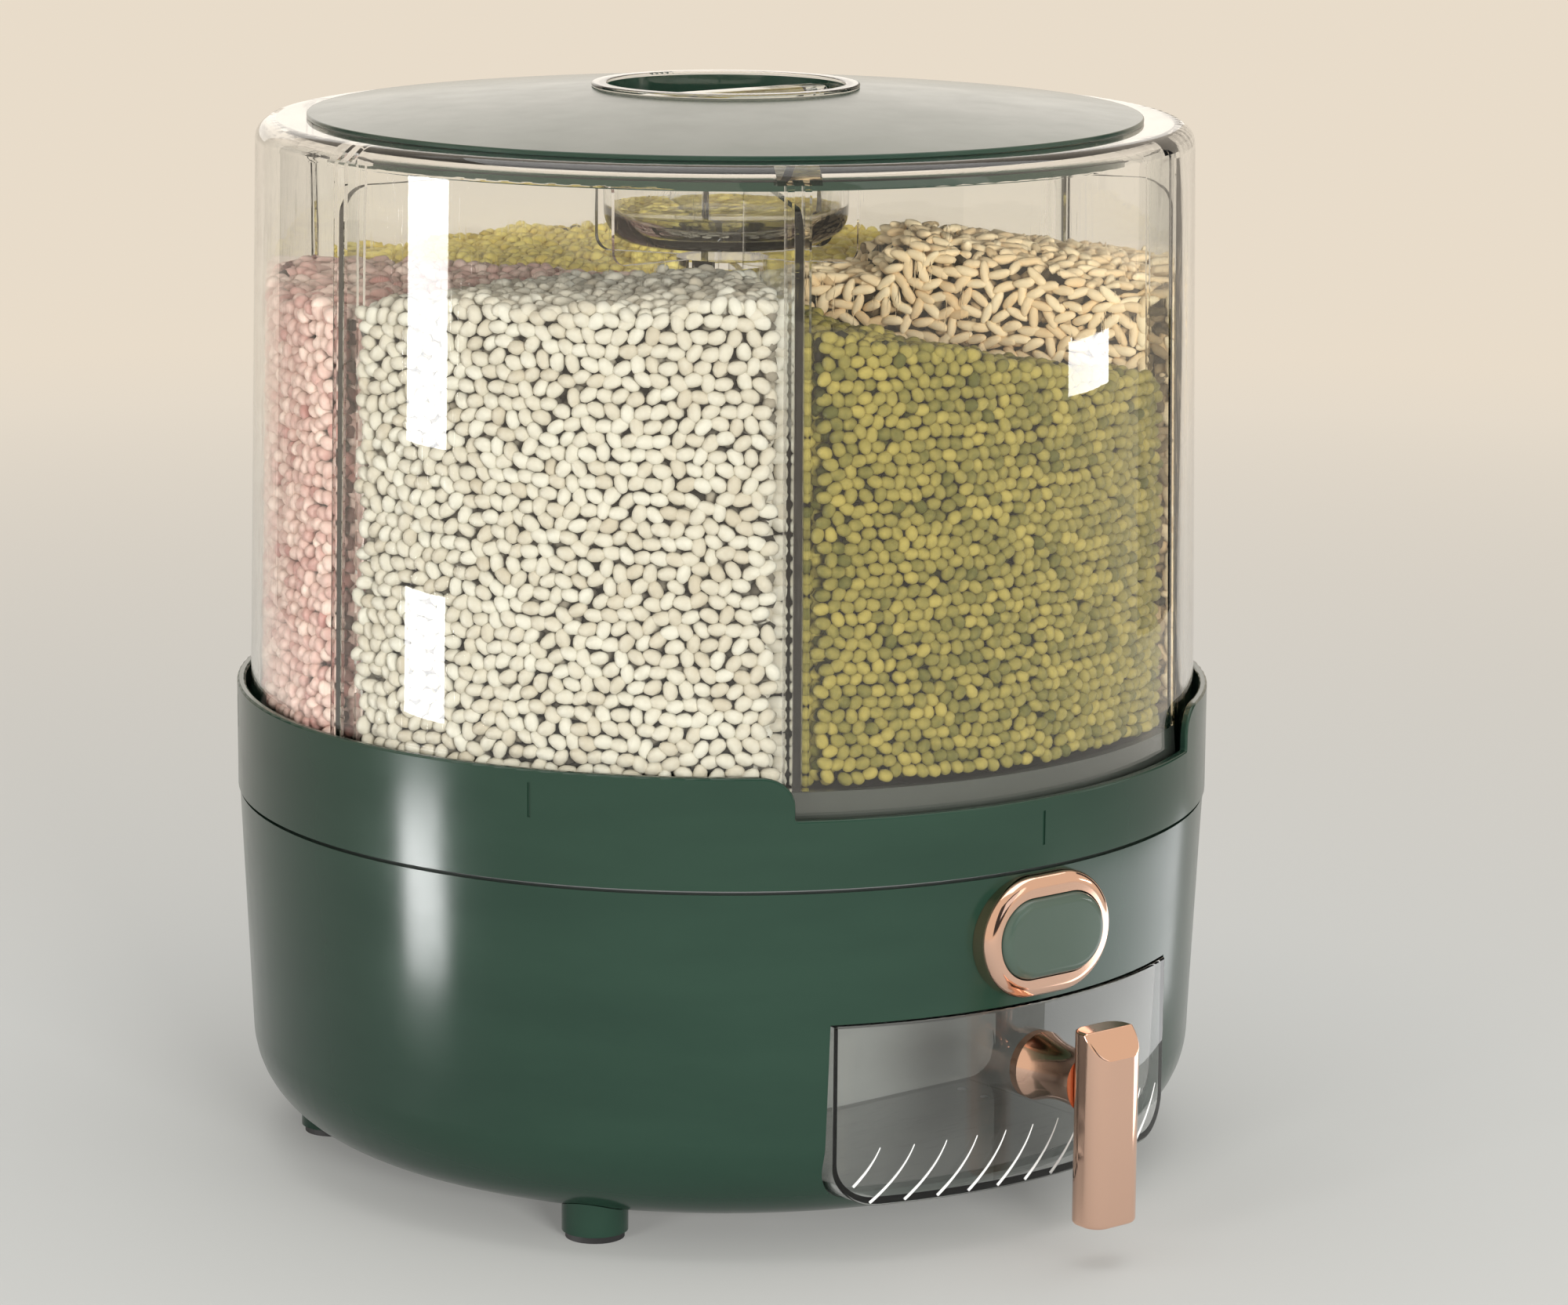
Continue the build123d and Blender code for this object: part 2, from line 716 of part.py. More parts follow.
# Drum floor: a trough with one port for each compartment
rim_outer = barrel_inside_at(rim_top) - seat_gap
rim_inner = rim_outer - rim_width
floor_slope = (rim_top - trough_top) / (rim_inner - trough_outer)
pad_edge = race_radius + race_pad
with BuildPart() as vessel_floor:
    with BuildSketch(Plane.XZ):
        with BuildLine():
            Polyline(
                (bush_radius + pivot_gap / 2, drum_under),
                (pad_edge, drum_under),
                (pad_edge, trough_top + floor_slope * (pad_edge - trough_outer) - floor_sheet),
                (rim_inner, rim_top - floor_sheet),
                (rim_inner, drum_flange_bottom),
                (barrel_bottom_radius - seat_gap, drum_flange_bottom),
                (barrel_bottom_radius - seat_gap, barrel_bottom),
                (rim_outer, barrel_bottom),
                (rim_outer, rim_top),
                (rim_inner, rim_top),
                (trough_outer, trough_top),
                (trough_inner, trough_top),
                (hub_radius, hub_top),
                (bush_radius + pivot_gap / 2, hub_top),
                close=True,
            )
        make_face()
        with Locations((race_radius, ball_height)):
            Circle(race_groove, mode=Mode.SUBTRACT)
    revolve(axis=Axis.Z)
    with BuildSketch(Plane.XY.offset(drum_under)):
        with PolarLocations(outlet_distance, compartments, start_angle=-90):
            RectangleRounded(
                outlet_depth + 2 * port_margin,
                outlet_width + 2 * port_margin,
                outlet_corner + port_margin,
            )
    extrude(amount=floor_sheet, mode=Mode.SUBTRACT)
vessel_floor.part.label = "vessel_floor"
export_step(vessel_floor.part, "parts/vessel_floor.step")

with BuildPart() as hub_bush:
    with BuildSketch(Plane.XY.offset(drum_under)):
        Circle(bush_radius)
        Circle(spindle_radius + pivot_gap, mode=Mode.SUBTRACT)
    extrude(amount=hub_top - drum_under)
hub_bush.part.label = "hub_bush"
export_step(hub_bush.part, "parts/hub_bush.step")

# Barrel with a pair of guide ribs and a cap over them at each blade
ring_under = mouth_top - mouth_ring
rib_bottom = rim_top + seat_gap
with BuildPart() as barrel:
    with BuildSketch(Plane.XZ):
        with BuildLine():
            outside = FilletPolyline(
                (barrel_bottom_radius, barrel_bottom),
                (barrel_top_radius, mouth_top),
                (mouth_radius, mouth_top),
                radius=shoulder_radius,
            )
            inside = FilletPolyline(
                (mouth_radius, ring_under),
                (barrel_inside_at(ring_under), ring_under),
                (barrel_bottom_radius - barrel_wall, barrel_bottom),
                radius=shoulder_radius - barrel_wall,
            )
            Line(outside @ 1, inside @ 0)
            Line(inside @ 1, outside @ 0)
        make_face()
    revolve(axis=Axis.Z)
    for angle in divider_angles:
        for side in (-1, 1):
            with BuildSketch(radial_plane(angle).offset(side * (blade_thickness / 2 + blade_gap))):
                with BuildLine():
                    Polyline(
                        (barrel_inside_at(rib_bottom) + rib_bite, rib_bottom),
                        (barrel_inside_at(ring_under) + rib_bite, ring_under),
                        (barrel_inside_at(ring_under) - rib_depth, ring_under),
                        (barrel_inside_at(rib_bottom) - rib_depth, rib_bottom),
                        close=True,
                    )
                make_face()
            extrude(amount=side * rib_thickness)
        with BuildSketch(radial_plane(angle)):
            with Locations((barrel_inside_at(ring_under) - rib_depth / 2, ring_under - rib_cap_height / 2)):
                Rectangle(rib_depth, rib_cap_height)
        extrude(amount=rib_cap_width / 2, both=True)
barrel.part.label = "barrel"
export_step(barrel.part, "parts/barrel.step")

# Divider: blades on a tube, resting on the floor and notched around the lid's well
notch_radius = well_radius + blade_notch_gap
notch_height = well_bottom - blade_notch_gap
rest_height = hub_top + seat_gap
with BuildPart() as divider:
    with BuildSketch(Plane.XY.offset(rest_height)):
        Circle(tube_radius)
    extrude(amount=notch_height - rest_height)
    for angle in divider_angles:
        with BuildSketch(radial_plane(angle)):
            with BuildLine():
                upper = FilletPolyline(
                    (barrel_inside_at(rib_bottom) - seat_gap, rib_bottom),
                    (barrel_inside_at(blade_top) - seat_gap, blade_top),
                    (notch_radius, blade_top),
                    (notch_radius, notch_height),
                    (tube_inside, notch_height),
                    radius=(blade_corner, blade_corner, blade_notch_gap),
                )
                Polyline(
                    upper @ 1,
                    (tube_inside, rest_height),
                    (hub_radius, rest_height),
                    (trough_inner, trough_top + seat_gap),
                    (trough_outer, trough_top + seat_gap),
                    (rim_inner, rib_bottom),
                    upper @ 0,
                )
            make_face()
        extrude(amount=blade_thickness / 2, both=True)
    with BuildSketch(Plane.XY.offset(rest_height)):
        Circle(tube_inside)
    extrude(amount=notch_height - rest_height - tube_wall, mode=Mode.SUBTRACT)
divider.part.label = "divider"
export_step(divider.part, "parts/divider.step")

# Lid: a low dome with a plug skirt, and a sleeve around its well
plug_bottom = mouth_top - plug_depth
lid_middle = (lid_radius + well_hole) / 2
lid_middle_top = (lid_edge_top + lid_top) / 2 + lid_crown
with BuildPart() as lid_shell:
    with BuildSketch(Plane.XZ) as lid_section:
        with BuildLine():
            crown = ThreePointArc(
                (lid_radius, lid_edge_top), (lid_middle, lid_middle_top), (well_hole, lid_top)
            )
            vault = ThreePointArc(
                (well_hole, lid_top - lid_wall),
                (lid_middle, lid_middle_top - lid_wall),
                (plug_radius, mouth_top),
            )
            Line(crown @ 1, vault @ 0)
            Polyline(vault @ 1, (lid_radius, mouth_top), crown @ 0)
        make_face()
        with BuildLine():
            Polyline(
                (plug_radius, plug_bottom),
                (plug_radius, mouth_top + lid_edge / 2),
                (plug_radius - plug_wall, mouth_top + lid_edge / 2),
                (plug_radius - plug_wall, plug_bottom),
                close=True,
            )
        make_face()
        with BuildLine():
            Polyline(
                (well_hole, lid_top - well_sleeve_depth),
                (well_hole, lid_top - lid_wall / 2),
                (well_hole + well_sleeve, lid_top - lid_wall / 2),
                (well_hole + well_sleeve, lid_top - well_sleeve_depth),
                close=True,
            )
        make_face()
        with Locations(
            (plug_radius - seal_bite / 2, mouth_top - lid_seal_drop - lid_seal_height / 2)
        ):
            Rectangle(seal_bite, lid_seal_height, mode=Mode.SUBTRACT)
        fillet(lid_section.vertices().group_by(Axis.X)[-1], lid_edge_round)
    revolve(axis=Axis.Z)
lid_shell.part.label = "lid_shell"
export_step(lid_shell.part, "parts/lid_shell.step")

with BuildPart() as lid_seal:
    with BuildSketch(Plane.XZ) as seal_section:
        with BuildLine():
            Polyline(
                (seal_inside, mouth_top - lid_seal_drop),
                (mouth_radius - seat_gap, mouth_top - lid_seal_drop),
                (mouth_radius - seat_gap, mouth_top - lid_seal_drop - lid_seal_height),
                (seal_inside, mouth_top - lid_seal_drop - lid_seal_height),
                close=True,
            )
        make_face()
        fillet(seal_section.vertices().group_by(Axis.X)[-1], lid_seal_round)
    revolve(axis=Axis.Z)
lid_seal.part.label = "lid_seal"
export_step(lid_seal.part, "parts/lid_seal.step")

# Well in the middle of the lid, with its grip bar and pins
with BuildPart() as well_cup:
    with BuildSketch(Plane.XZ):
        with BuildLine():
            wall = FilletPolyline(
                (0, well_bottom),
                (well_bottom_radius, well_bottom),
                (well_radius, lid_top + skin_gap),
                (well_radius + well_rim, lid_top + skin_gap),
                (well_radius + well_rim, well_rim_top),
                (well_radius - well_wall, well_rim_top),
                (well_bottom_radius - well_wall, well_bottom + well_floor),
                (0, well_bottom + well_floor),
                radius=(well_curve, 0, 0, well_rim_height / 2, well_rim_height / 2, well_curve - well_wall),
            )
            Line(wall @ 1, wall @ 0)
        make_face()
    revolve(axis=Axis.Z)
    with BuildSketch(Plane.YZ.offset(-well_radius)):
        with Locations((0, grip_middle)):
            Circle(grip_pin_radius + pivot_gap)
    extrude(amount=2 * well_radius, mode=Mode.SUBTRACT)
well_cup.part.label = "well_cup"
export_step(well_cup.part, "parts/well_cup.step")

grip_end = well_radius - well_wall - slide_gap
pin_outer = well_radius - seat_gap
with BuildPart() as grip_bar:
    with BuildSketch(Plane.YZ.offset(-grip_end)):
        with Locations((0, grip_middle)):
            RectangleRounded(grip_width, grip_height, grip_round)
    extrude(amount=2 * grip_end)
    with BuildSketch(Plane.XY.offset(well_bottom)):
        Circle(grip_end)
    extrude(amount=well_rim_top - well_bottom, mode=Mode.INTERSECT)
    for side in (-1, 1):
        with BuildSketch(Plane.YZ.offset(side * (pin_outer - grip_pin_length - screw_end_gap))):
            with Locations((0, grip_middle)):
                Circle(grip_pin_radius + pivot_gap)
        extrude(amount=side * (grip_pin_length + screw_end_gap), mode=Mode.SUBTRACT)
grip_bar.part.label = "grip_bar"
export_step(grip_bar.part, "parts/grip_bar.step")

with BuildPart() as grip_pins:
    for side in (-1, 1):
        with BuildSketch(Plane.YZ.offset(side * pin_outer)):
            with Locations((0, grip_middle)):
                Circle(grip_pin_radius)
        extrude(amount=-side * grip_pin_length)
grip_pins.part.label = "grip_pins"
export_step(grip_pins.part, "parts/grip_pins.step")

# Bay that guides the drawer, open at the front and under the gate
gate_end = chute_rear + chute_wall / 2
with BuildPart() as drawer_bay:
    add(drawer_block(slide_gap + bay_wall, 2 * base_top_radius, bay_roof_top))
    add(drawer_block(slide_gap, 2 * base_top_radius, drawer_top + slide_gap), mode=Mode.SUBTRACT)
    roof_front = gate_hinge_distance + ear_margin + turn_gap
    roof_rear = chute_rear - ear_margin
    with BuildSketch(Plane.XY.offset(drawer_top)):
        with Locations((0, -(roof_front + roof_rear) / 2)):
            Rectangle(2 * (gate_half_width + ear_margin), roof_front - roof_rear)
    extrude(amount=bay_roof_top - drawer_top, mode=Mode.SUBTRACT)
    with BuildSketch(Plane.XY.offset(floor_plate_top)):
        with Locations(bay_screw_places):
            Circle(screw_hole)
    extrude(amount=bay_wall, mode=Mode.SUBTRACT)
    with BuildSketch(Plane.XY.offset(bay_roof_top)):
        with Locations(bracket_screw_places):
            Circle(screw_hole)
    extrude(amount=-bay_wall, mode=Mode.SUBTRACT)
    add(base_body(-base_wall - seat_gap), mode=Mode.INTERSECT)
drawer_bay.part.label = "drawer_bay"
export_step(drawer_bay.part, "parts/drawer_bay.step")

bay_screws = screw_group(bay_screw_places, floor_plate_thickness + bay_wall - screw_end_gap)
bay_screws.label = "bay_screws"
export_step(bay_screws, "parts/bay_screws.step")

# Drawer cup, with a rim that falls towards the back
with BuildPart() as drawer_cup:
    add(drawer_block(0, drawer_front_radius, drawer_top))
    add(
        drawer_block(-cup_wall, drawer_front_radius - cup_wall, drawer_top + cup_wall),
        mode=Mode.SUBTRACT,
    )
    with BuildSketch(Plane.YZ.offset(-2 * drawer_half_width)):
        with BuildLine():
            Polyline(
                (-drawer_slope_start, drawer_top),
                (-drawer_back, drawer_rear_top),
                (-drawer_back, drawer_top),
                close=True,
            )
        make_face()
    extrude(amount=4 * drawer_half_width, mode=Mode.SUBTRACT)
    front_face = drawer_cup.faces().filter_by(GeomType.CYLINDER).sort_by(SortBy.AREA)[-1]
    fillet(front_face.outer_wire().edges(), cup_edge_round)
    with BuildSketch(front_plane(drawer_back + drawer_corner)):
        with Locations((0, handle_height)):
            Circle(screw_hole)
    extrude(amount=drawer_front_radius, mode=Mode.SUBTRACT)
drawer_cup.part.label = "drawer_cup"
export_step(drawer_cup.part, "parts/drawer_cup.step")

# Handle: turned stem, upright bar with a slanted top, and the screw from inside the cup
stem_back = sqrt(drawer_front_radius**2 - stem_foot_radius**2)
stem_axis = Axis((0, 0, handle_height), (0, 1, 0))
handle_screw_seat = drawer_front_radius - cup_wall
with BuildPart() as handle_stem:
    with BuildSketch(Plane.XY.offset(handle_height)):
        with BuildLine():
            foot_end = -drawer_front_radius - stem_foot_length
            waist = ThreePointArc(
                (stem_foot_radius, foot_end),
                (stem_waist_radius, (foot_end - bar_back) / 2),
                (stem_head_radius, -bar_back),
            )
            Polyline(waist @ 0, (stem_foot_radius, -stem_back), (0, -stem_back))
            Polyline(
                waist @ 1,
                (spigot_radius, -bar_back),
                (spigot_radius, -bar_back - spigot_length),
                (0, -bar_back - spigot_length),
                (0, -stem_back),
            )
        make_face()
    revolve(axis=stem_axis)
    with BuildSketch(Plane.XY.offset(bar_bottom)):
        Circle(drawer_front_radius + pivot_gap)
    extrude(amount=bar_top - bar_bottom, mode=Mode.SUBTRACT)
    with BuildSketch(front_plane(stem_back - seat_gap)):
        with Locations((0, handle_height)):
            Circle(screw_hole)
    extrude(amount=handle_screw_length + screw_end_gap, mode=Mode.SUBTRACT)
handle_stem.part.label = "handle_stem"
export_step(handle_stem.part, "parts/handle_stem.step")

with BuildPart() as handle_bar:
    with BuildSketch(Plane.YZ.offset(-bar_width / 2)):
        with BuildLine():
            Polyline(
                (-bar_back, bar_bottom),
                (-bar_back, bar_top),
                (-bar_back - bar_depth + bar_bevel_depth, bar_top),
                (-bar_back - bar_depth, bar_top - bar_bevel_height),
                (-bar_back - bar_depth, bar_bottom),
                close=True,
            )
        make_face()
    extrude(amount=bar_width)
    fillet(handle_bar.edges().filter_by(Axis.Z), bar_side_round)
    fillet(handle_bar.faces().sort_by(Axis.Z)[0].edges(), bar_edge_round)
    bevel_foot = bar_top - bar_bevel_height
    fillet(handle_bar.edges().filter_by(lambda e: e.center().Z > bevel_foot - seat_gap), bar_top_round)
    with BuildSketch(front_plane(bar_back)):
        with Locations((0, handle_height)):
            Circle(spigot_radius + pivot_gap)
    extrude(amount=spigot_length + seat_gap, mode=Mode.SUBTRACT)
handle_bar.part.label = "handle_bar"
export_step(handle_bar.part, "parts/handle_bar.step")

with BuildPart() as handle_screw:
    with BuildSketch(front_plane(handle_screw_seat)):
        with Locations((0, handle_height)):
            Circle(screw_radius)
    extrude(amount=handle_screw_length)
    with BuildSketch(front_plane(handle_screw_seat - skin_gap)):
        with Locations((0, handle_height)):
            Circle(screw_head_radius)
    extrude(amount=-screw_head_height)
    with BuildSketch(front_plane(handle_screw_seat - skin_gap)):
        with Locations((0, handle_height)):
            Circle(screw_radius)
    extrude(amount=skin_gap)
    with BuildSketch(front_plane(handle_screw_seat - skin_gap - screw_head_height)):
        with Locations((0, handle_height)):
            Rectangle(cross_length, cross_width)
            Rectangle(cross_width, cross_length)
    extrude(amount=cross_depth, mode=Mode.SUBTRACT)
handle_screw.part.label = "handle_screw"
export_step(handle_screw.part, "parts/handle_screw.step")

# Button bezel, seated on the base's side with its neck through the wall
button_surface = base_radius_at(button_height)
bezel_front = button_surface + bezel_proud
neck_end = button_surface - bezel_neck_length
with BuildPart() as button_bezel:
    with BuildSketch(front_plane(neck_end)):
        with Locations((0, button_height)):
            SlotOverall(bezel_width, bezel_rise)
    extrude(amount=bezel_front - neck_end)
    fillet(button_bezel.faces().sort_by(Axis.Y)[0].edges(), bezel_round)
    add(base_skin, mode=Mode.SUBTRACT)
    with BuildSketch(front_plane(neck_end)):
        with Locations((0, button_height)):
            SlotOverall(
                button_width + 2 * (seat_gap + bezel_neck), button_rise + 2 * (seat_gap + bezel_neck)
            )
    extrude(amount=bezel_front - bezel_round - neck_end)
    with BuildSketch(front_plane(neck_end)):
        with Locations((0, button_height)):
            SlotOverall(button_width + 2 * seat_gap, button_rise + 2 * seat_gap)
    extrude(amount=bezel_front - neck_end, mode=Mode.SUBTRACT)
button_bezel.part.label = "button_bezel"
export_step(button_bezel.part, "parts/button_bezel.step")

# Button cap and the plunger pressed into it
cap_front = button_surface + button_proud
cap_rear = cap_front - button_length
pocket_floor = cap_front - button_front_wall
with BuildPart() as button_cap:
    with BuildSketch(front_plane(cap_rear)):
        with Locations((0, button_height)):
            SlotOverall(button_width, button_rise)
    extrude(amount=button_length)
    fillet(button_cap.faces().sort_by(Axis.Y)[0].edges(), button_round)
    with BuildSketch(front_plane(cap_rear)):
        with Locations((0, button_height)):
            SlotOverall(button_width - 2 * button_wall, button_rise - 2 * button_wall)
    extrude(amount=pocket_floor - cap_rear, mode=Mode.SUBTRACT)
button_cap.part.label = "button_cap"
export_step(button_cap.part, "parts/button_cap.step")

with BuildPart() as button_plunger:
    with BuildSketch(front_plane(pocket_floor)):
        with Locations((0, button_height)):
            SlotOverall(
                button_width - 2 * (button_wall + head_gap), button_rise - 2 * (button_wall + head_gap)
            )
    extrude(amount=-head_length)
    with BuildSketch(front_plane(rod_tip)):
        with Locations((0, button_height)):
            Circle(tip_radius)
    extrude(amount=tip_length)
    with BuildSketch(front_plane(rod_tip + tip_length)):
        with Locations((0, button_height)):
            Circle(rod_radius)
    extrude(amount=pocket_floor - rod_tip - tip_length)
    with BuildSketch(front_plane(spring_front)):
        with Locations((0, button_height)):
            Circle(rod_flange_radius)
    extrude(amount=rod_flange)
    with BuildSketch(front_plane(clip_rear)):
        with Locations((0, button_height)):
            Circle(rod_radius)
            Circle(rod_radius - clip_thickness, mode=Mode.SUBTRACT)
    extrude(amount=clip_thickness, mode=Mode.SUBTRACT)
button_plunger.part.label = "button_plunger"
export_step(button_plunger.part, "parts/button_plunger.step")

with BuildPart() as plunger_clip:
    with BuildSketch(front_plane(clip_rear)):
        with Locations((0, button_height)):
            Circle(clip_radius)
            Circle(rod_radius - clip_thickness + pivot_gap, mode=Mode.SUBTRACT)
        with Locations((0, button_height - clip_radius)):
            Rectangle(rod_radius, 2 * clip_radius, mode=Mode.SUBTRACT)
    extrude(amount=clip_thickness)
plunger_clip.part.label = "plunger_clip"
export_step(plunger_clip.part, "parts/plunger_clip.step")

# Bracket that guides the plunger, on the bay's roof
with BuildPart() as button_bracket:
    plate_height = button_height + rod_radius + bracket_top_margin - bay_roof_top
    with BuildSketch(front_plane(bracket_rear)):
        with Locations((0, bay_roof_top + plate_height / 2)):
            Rectangle(2 * bracket_half_width, plate_height)
        with Locations((0, button_height)):
            Circle(rod_radius + pivot_gap, mode=Mode.SUBTRACT)
    extrude(amount=bracket_thickness)
    with BuildSketch(Plane.XY.offset(bay_roof_top)):
        with Locations((0, -bracket_front - bracket_foot_length / 2)):
            Rectangle(2 * bracket_half_width, bracket_foot_length)
        with Locations(bracket_screw_places):
            Circle(screw_hole, mode=Mode.SUBTRACT)
    extrude(amount=bracket_foot)
button_bracket.part.label = "button_bracket"
export_step(button_bracket.part, "parts/button_bracket.step")

bracket_screws = screw_group(bracket_screw_places, bracket_foot + bay_wall - screw_end_gap, -1)
bracket_screws.label = "bracket_screws"
export_step(bracket_screws, "parts/bracket_screws.step")

# Return spring of the button
spring_radius = rod_radius + spring_clear + spring_wire
spring_pitch = (spring_length - 2 * (spring_wire + pivot_gap)) / spring_turns
spring_base = Plane(
    (0, -bracket_front - spring_wire - pivot_gap, button_height), x_dir=(1, 0, 0), z_dir=(0, -1, 0)
)
spring_line = coil_path(spring_base, spring_radius, spring_pitch, spring_turns, 0, 0)
with BuildPart() as button_spring:
    with BuildSketch(Plane(spring_line @ 0, z_dir=spring_line % 0)):
        Circle(spring_wire)
    sweep(path=spring_line)
button_spring.part.label = "button_spring"
export_step(button_spring.part, "parts/button_spring.step")

# Chute under the outlet, with the ears of the gate's hinge
chute_half_width = outlet_width / 2 + chute_wall
with BuildPart() as chute:
    with BuildSketch(Plane.XY.offset(deck_bottom - chute_flange)):
        with Locations((0, -outlet_distance)):
            Rectangle(chute_flange_width, chute_flange_depth)
        with Locations(chute_screw_places):
            Circle(screw_hole, mode=Mode.SUBTRACT)
    extrude(amount=chute_flange)
    with BuildSketch(Plane.XY.offset(chute_bottom)):
        with Locations((0, -outlet_distance)):
            Rectangle(2 * chute_half_width, outlet_depth + 2 * chute_wall)
    extrude(amount=deck_bottom - chute_bottom)
    with BuildSketch(Plane.XY.offset(chute_bottom)):
        with Locations((0, -outlet_distance)):
            RectangleRounded(outlet_width, outlet_depth, outlet_corner)
    extrude(amount=deck_bottom - chute_bottom, mode=Mode.SUBTRACT)
    ear_front = gate_hinge_distance + ear_margin
    ear_low = gate_hinge_height - ear_margin
    ear_high = gate_hinge_height + ear_rise
    for side in (-1, 1):
        with BuildSketch(Plane.YZ.offset(side * chute_half_width)):
            with BuildLine():
                Polyline(
                    (-chute_rear, chute_bottom),
                    (-chute_front, ear_low),
                    (-ear_front, ear_low),
                    (-ear_front, gate_hinge_height + ear_margin),
                    (-chute_front, ear_high),
                    (-chute_rear, ear_high),
                    close=True,
                )
            make_face()
            with Locations((-gate_hinge_distance, gate_hinge_height)):
                Circle(gate_pin_radius + pivot_gap, mode=Mode.SUBTRACT)
        extrude(amount=side * ear_thickness)
chute.part.label = "chute"
export_step(chute.part, "parts/chute.step")

chute_screws = screw_group(chute_screw_places, chute_flange + deck_thickness - screw_end_gap)
chute_screws.label = "chute_screws"
export_step(chute_screws, "parts/chute_screws.step")

# Gate: flap with the arm that the plunger pushes, its pad, pin and spring
pin_half = chute_half_width + ear_thickness + seat_gap
torsion_radius = gate_hub_radius + seat_gap + torsion_wire
torsion_bottom = gate_hinge_height - torsion_radius
plate_under = gate_hinge_height - gate_plate / 2
spring_notch = torsion_radius + torsion_wire + slide_gap
heel_distance = chute_front - heel_length
with BuildPart() as gate_flap:
    with BuildSketch(Plane.YZ.offset(-gate_half_width)):
        with BuildLine():
            Polyline(
                (-gate_hinge_distance, plate_under),
                (-gate_end, plate_under),
                (-gate_end, plate_under + gate_plate),
                (-gate_hinge_distance, plate_under + gate_plate),
                close=True,
            )
        make_face()
    extrude(amount=2 * gate_half_width)
    notch_start = torsion_start - torsion_wire - slide_gap
    with BuildSketch(Plane.XY.offset(plate_under)):
        with Locations(((notch_start + gate_half_width) / 2, -gate_hinge_distance)):
            Rectangle(gate_half_width - notch_start, 2 * spring_notch)
    extrude(amount=gate_plate, mode=Mode.SUBTRACT)
    with BuildSketch(Plane.YZ.offset(-gate_half_width)):
        with Locations((-gate_hinge_distance, gate_hinge_height)):
            Circle(gate_hub_radius)
    extrude(amount=2 * gate_half_width)
    with BuildSketch(Plane.YZ.offset(-gate_arm_half_width)):
        with Locations((-gate_hinge_distance, gate_hinge_height)):
            Circle(gate_hub_radius)
        with Locations((-gate_nose_distance, gate_nose_height)):
            Circle(gate_nose_radius)
        make_hull()
    extrude(amount=2 * gate_arm_half_width)
    heel_x = torsion_start + torsion_pitch * torsion_turns
    heel_height = plate_under - torsion_bottom - torsion_wire - skin_gap
    with BuildSketch(Plane.XY.offset(plate_under)):
        with Locations((heel_x, -heel_distance)):
            Rectangle(heel_width, heel_length)
    extrude(amount=-heel_height)
    with BuildSketch(Plane.YZ.offset(-gate_half_width)):
        with Locations((-gate_hinge_distance, gate_hinge_height)):
            Circle(gate_pin_radius + pivot_gap)
    extrude(amount=2 * gate_half_width, mode=Mode.SUBTRACT)
gate_flap.part.label = "gate_flap"
export_step(gate_flap.part, "parts/gate_flap.step")

with BuildPart() as gate_pad_piece:
    with BuildSketch(Plane.XY.offset(plate_under + gate_plate)):
        with Locations((0, -(chute_front + gate_end) / 2)):
            Rectangle(2 * gate_half_width, chute_front - gate_end)
    extrude(amount=gate_pad)
gate_pad_piece.part.label = "gate_pad"
export_step(gate_pad_piece.part, "parts/gate_pad.step")

with BuildPart() as gate_pin:
    with BuildSketch(Plane.YZ.offset(-pin_half)):
        with Locations((-gate_hinge_distance, gate_hinge_height)):
            Circle(gate_pin_radius)
    extrude(amount=2 * pin_half)
    with BuildSketch(Plane.YZ.offset(-pin_half)):
        with Locations((-gate_hinge_distance, gate_hinge_height)):
            Circle(gate_pin_head_radius)
    extrude(amount=-gate_pin_head)
gate_pin.part.label = "gate_pin"
export_step(gate_pin.part, "parts/gate_pin.step")

torsion_plane = Plane(
    (torsion_start, -gate_hinge_distance, gate_hinge_height), x_dir=(0, 1, 0), z_dir=(1, 0, 0)
)
torsion_leg = gate_hinge_distance - chute_front - torsion_wire
torsion_line = coil_path(torsion_plane, torsion_radius, torsion_pitch, torsion_turns, 90, torsion_leg)
with BuildPart() as gate_spring:
    with BuildSketch(Plane(torsion_line @ 0, z_dir=torsion_line % 0)):
        Circle(torsion_wire)
    sweep(path=torsion_line)
gate_spring.part.label = "gate_spring"
export_step(gate_spring.part, "parts/gate_spring.step")

# The springs' least gap between turns
for name, pitch, wire in (
    ("button_spring", spring_pitch, spring_wire),
    ("gate_spring", torsion_pitch, torsion_wire),
):
    print(name, "gap between turns", round(pitch - 2 * wire, 2), "mm")
swing = degrees(2 * gate_half_swing)
print("gate swing", round(swing, 3), "degrees over a button travel of", button_travel, "mm")
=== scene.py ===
"""Finishes, springs, grain and studio for a rotating grain dispenser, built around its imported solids."""

import json
import math
from collections import namedtuple

import bmesh
import bpy
import numpy as np
from mathutils import Matrix, Vector
from mathutils.bvhtree import BVHTree


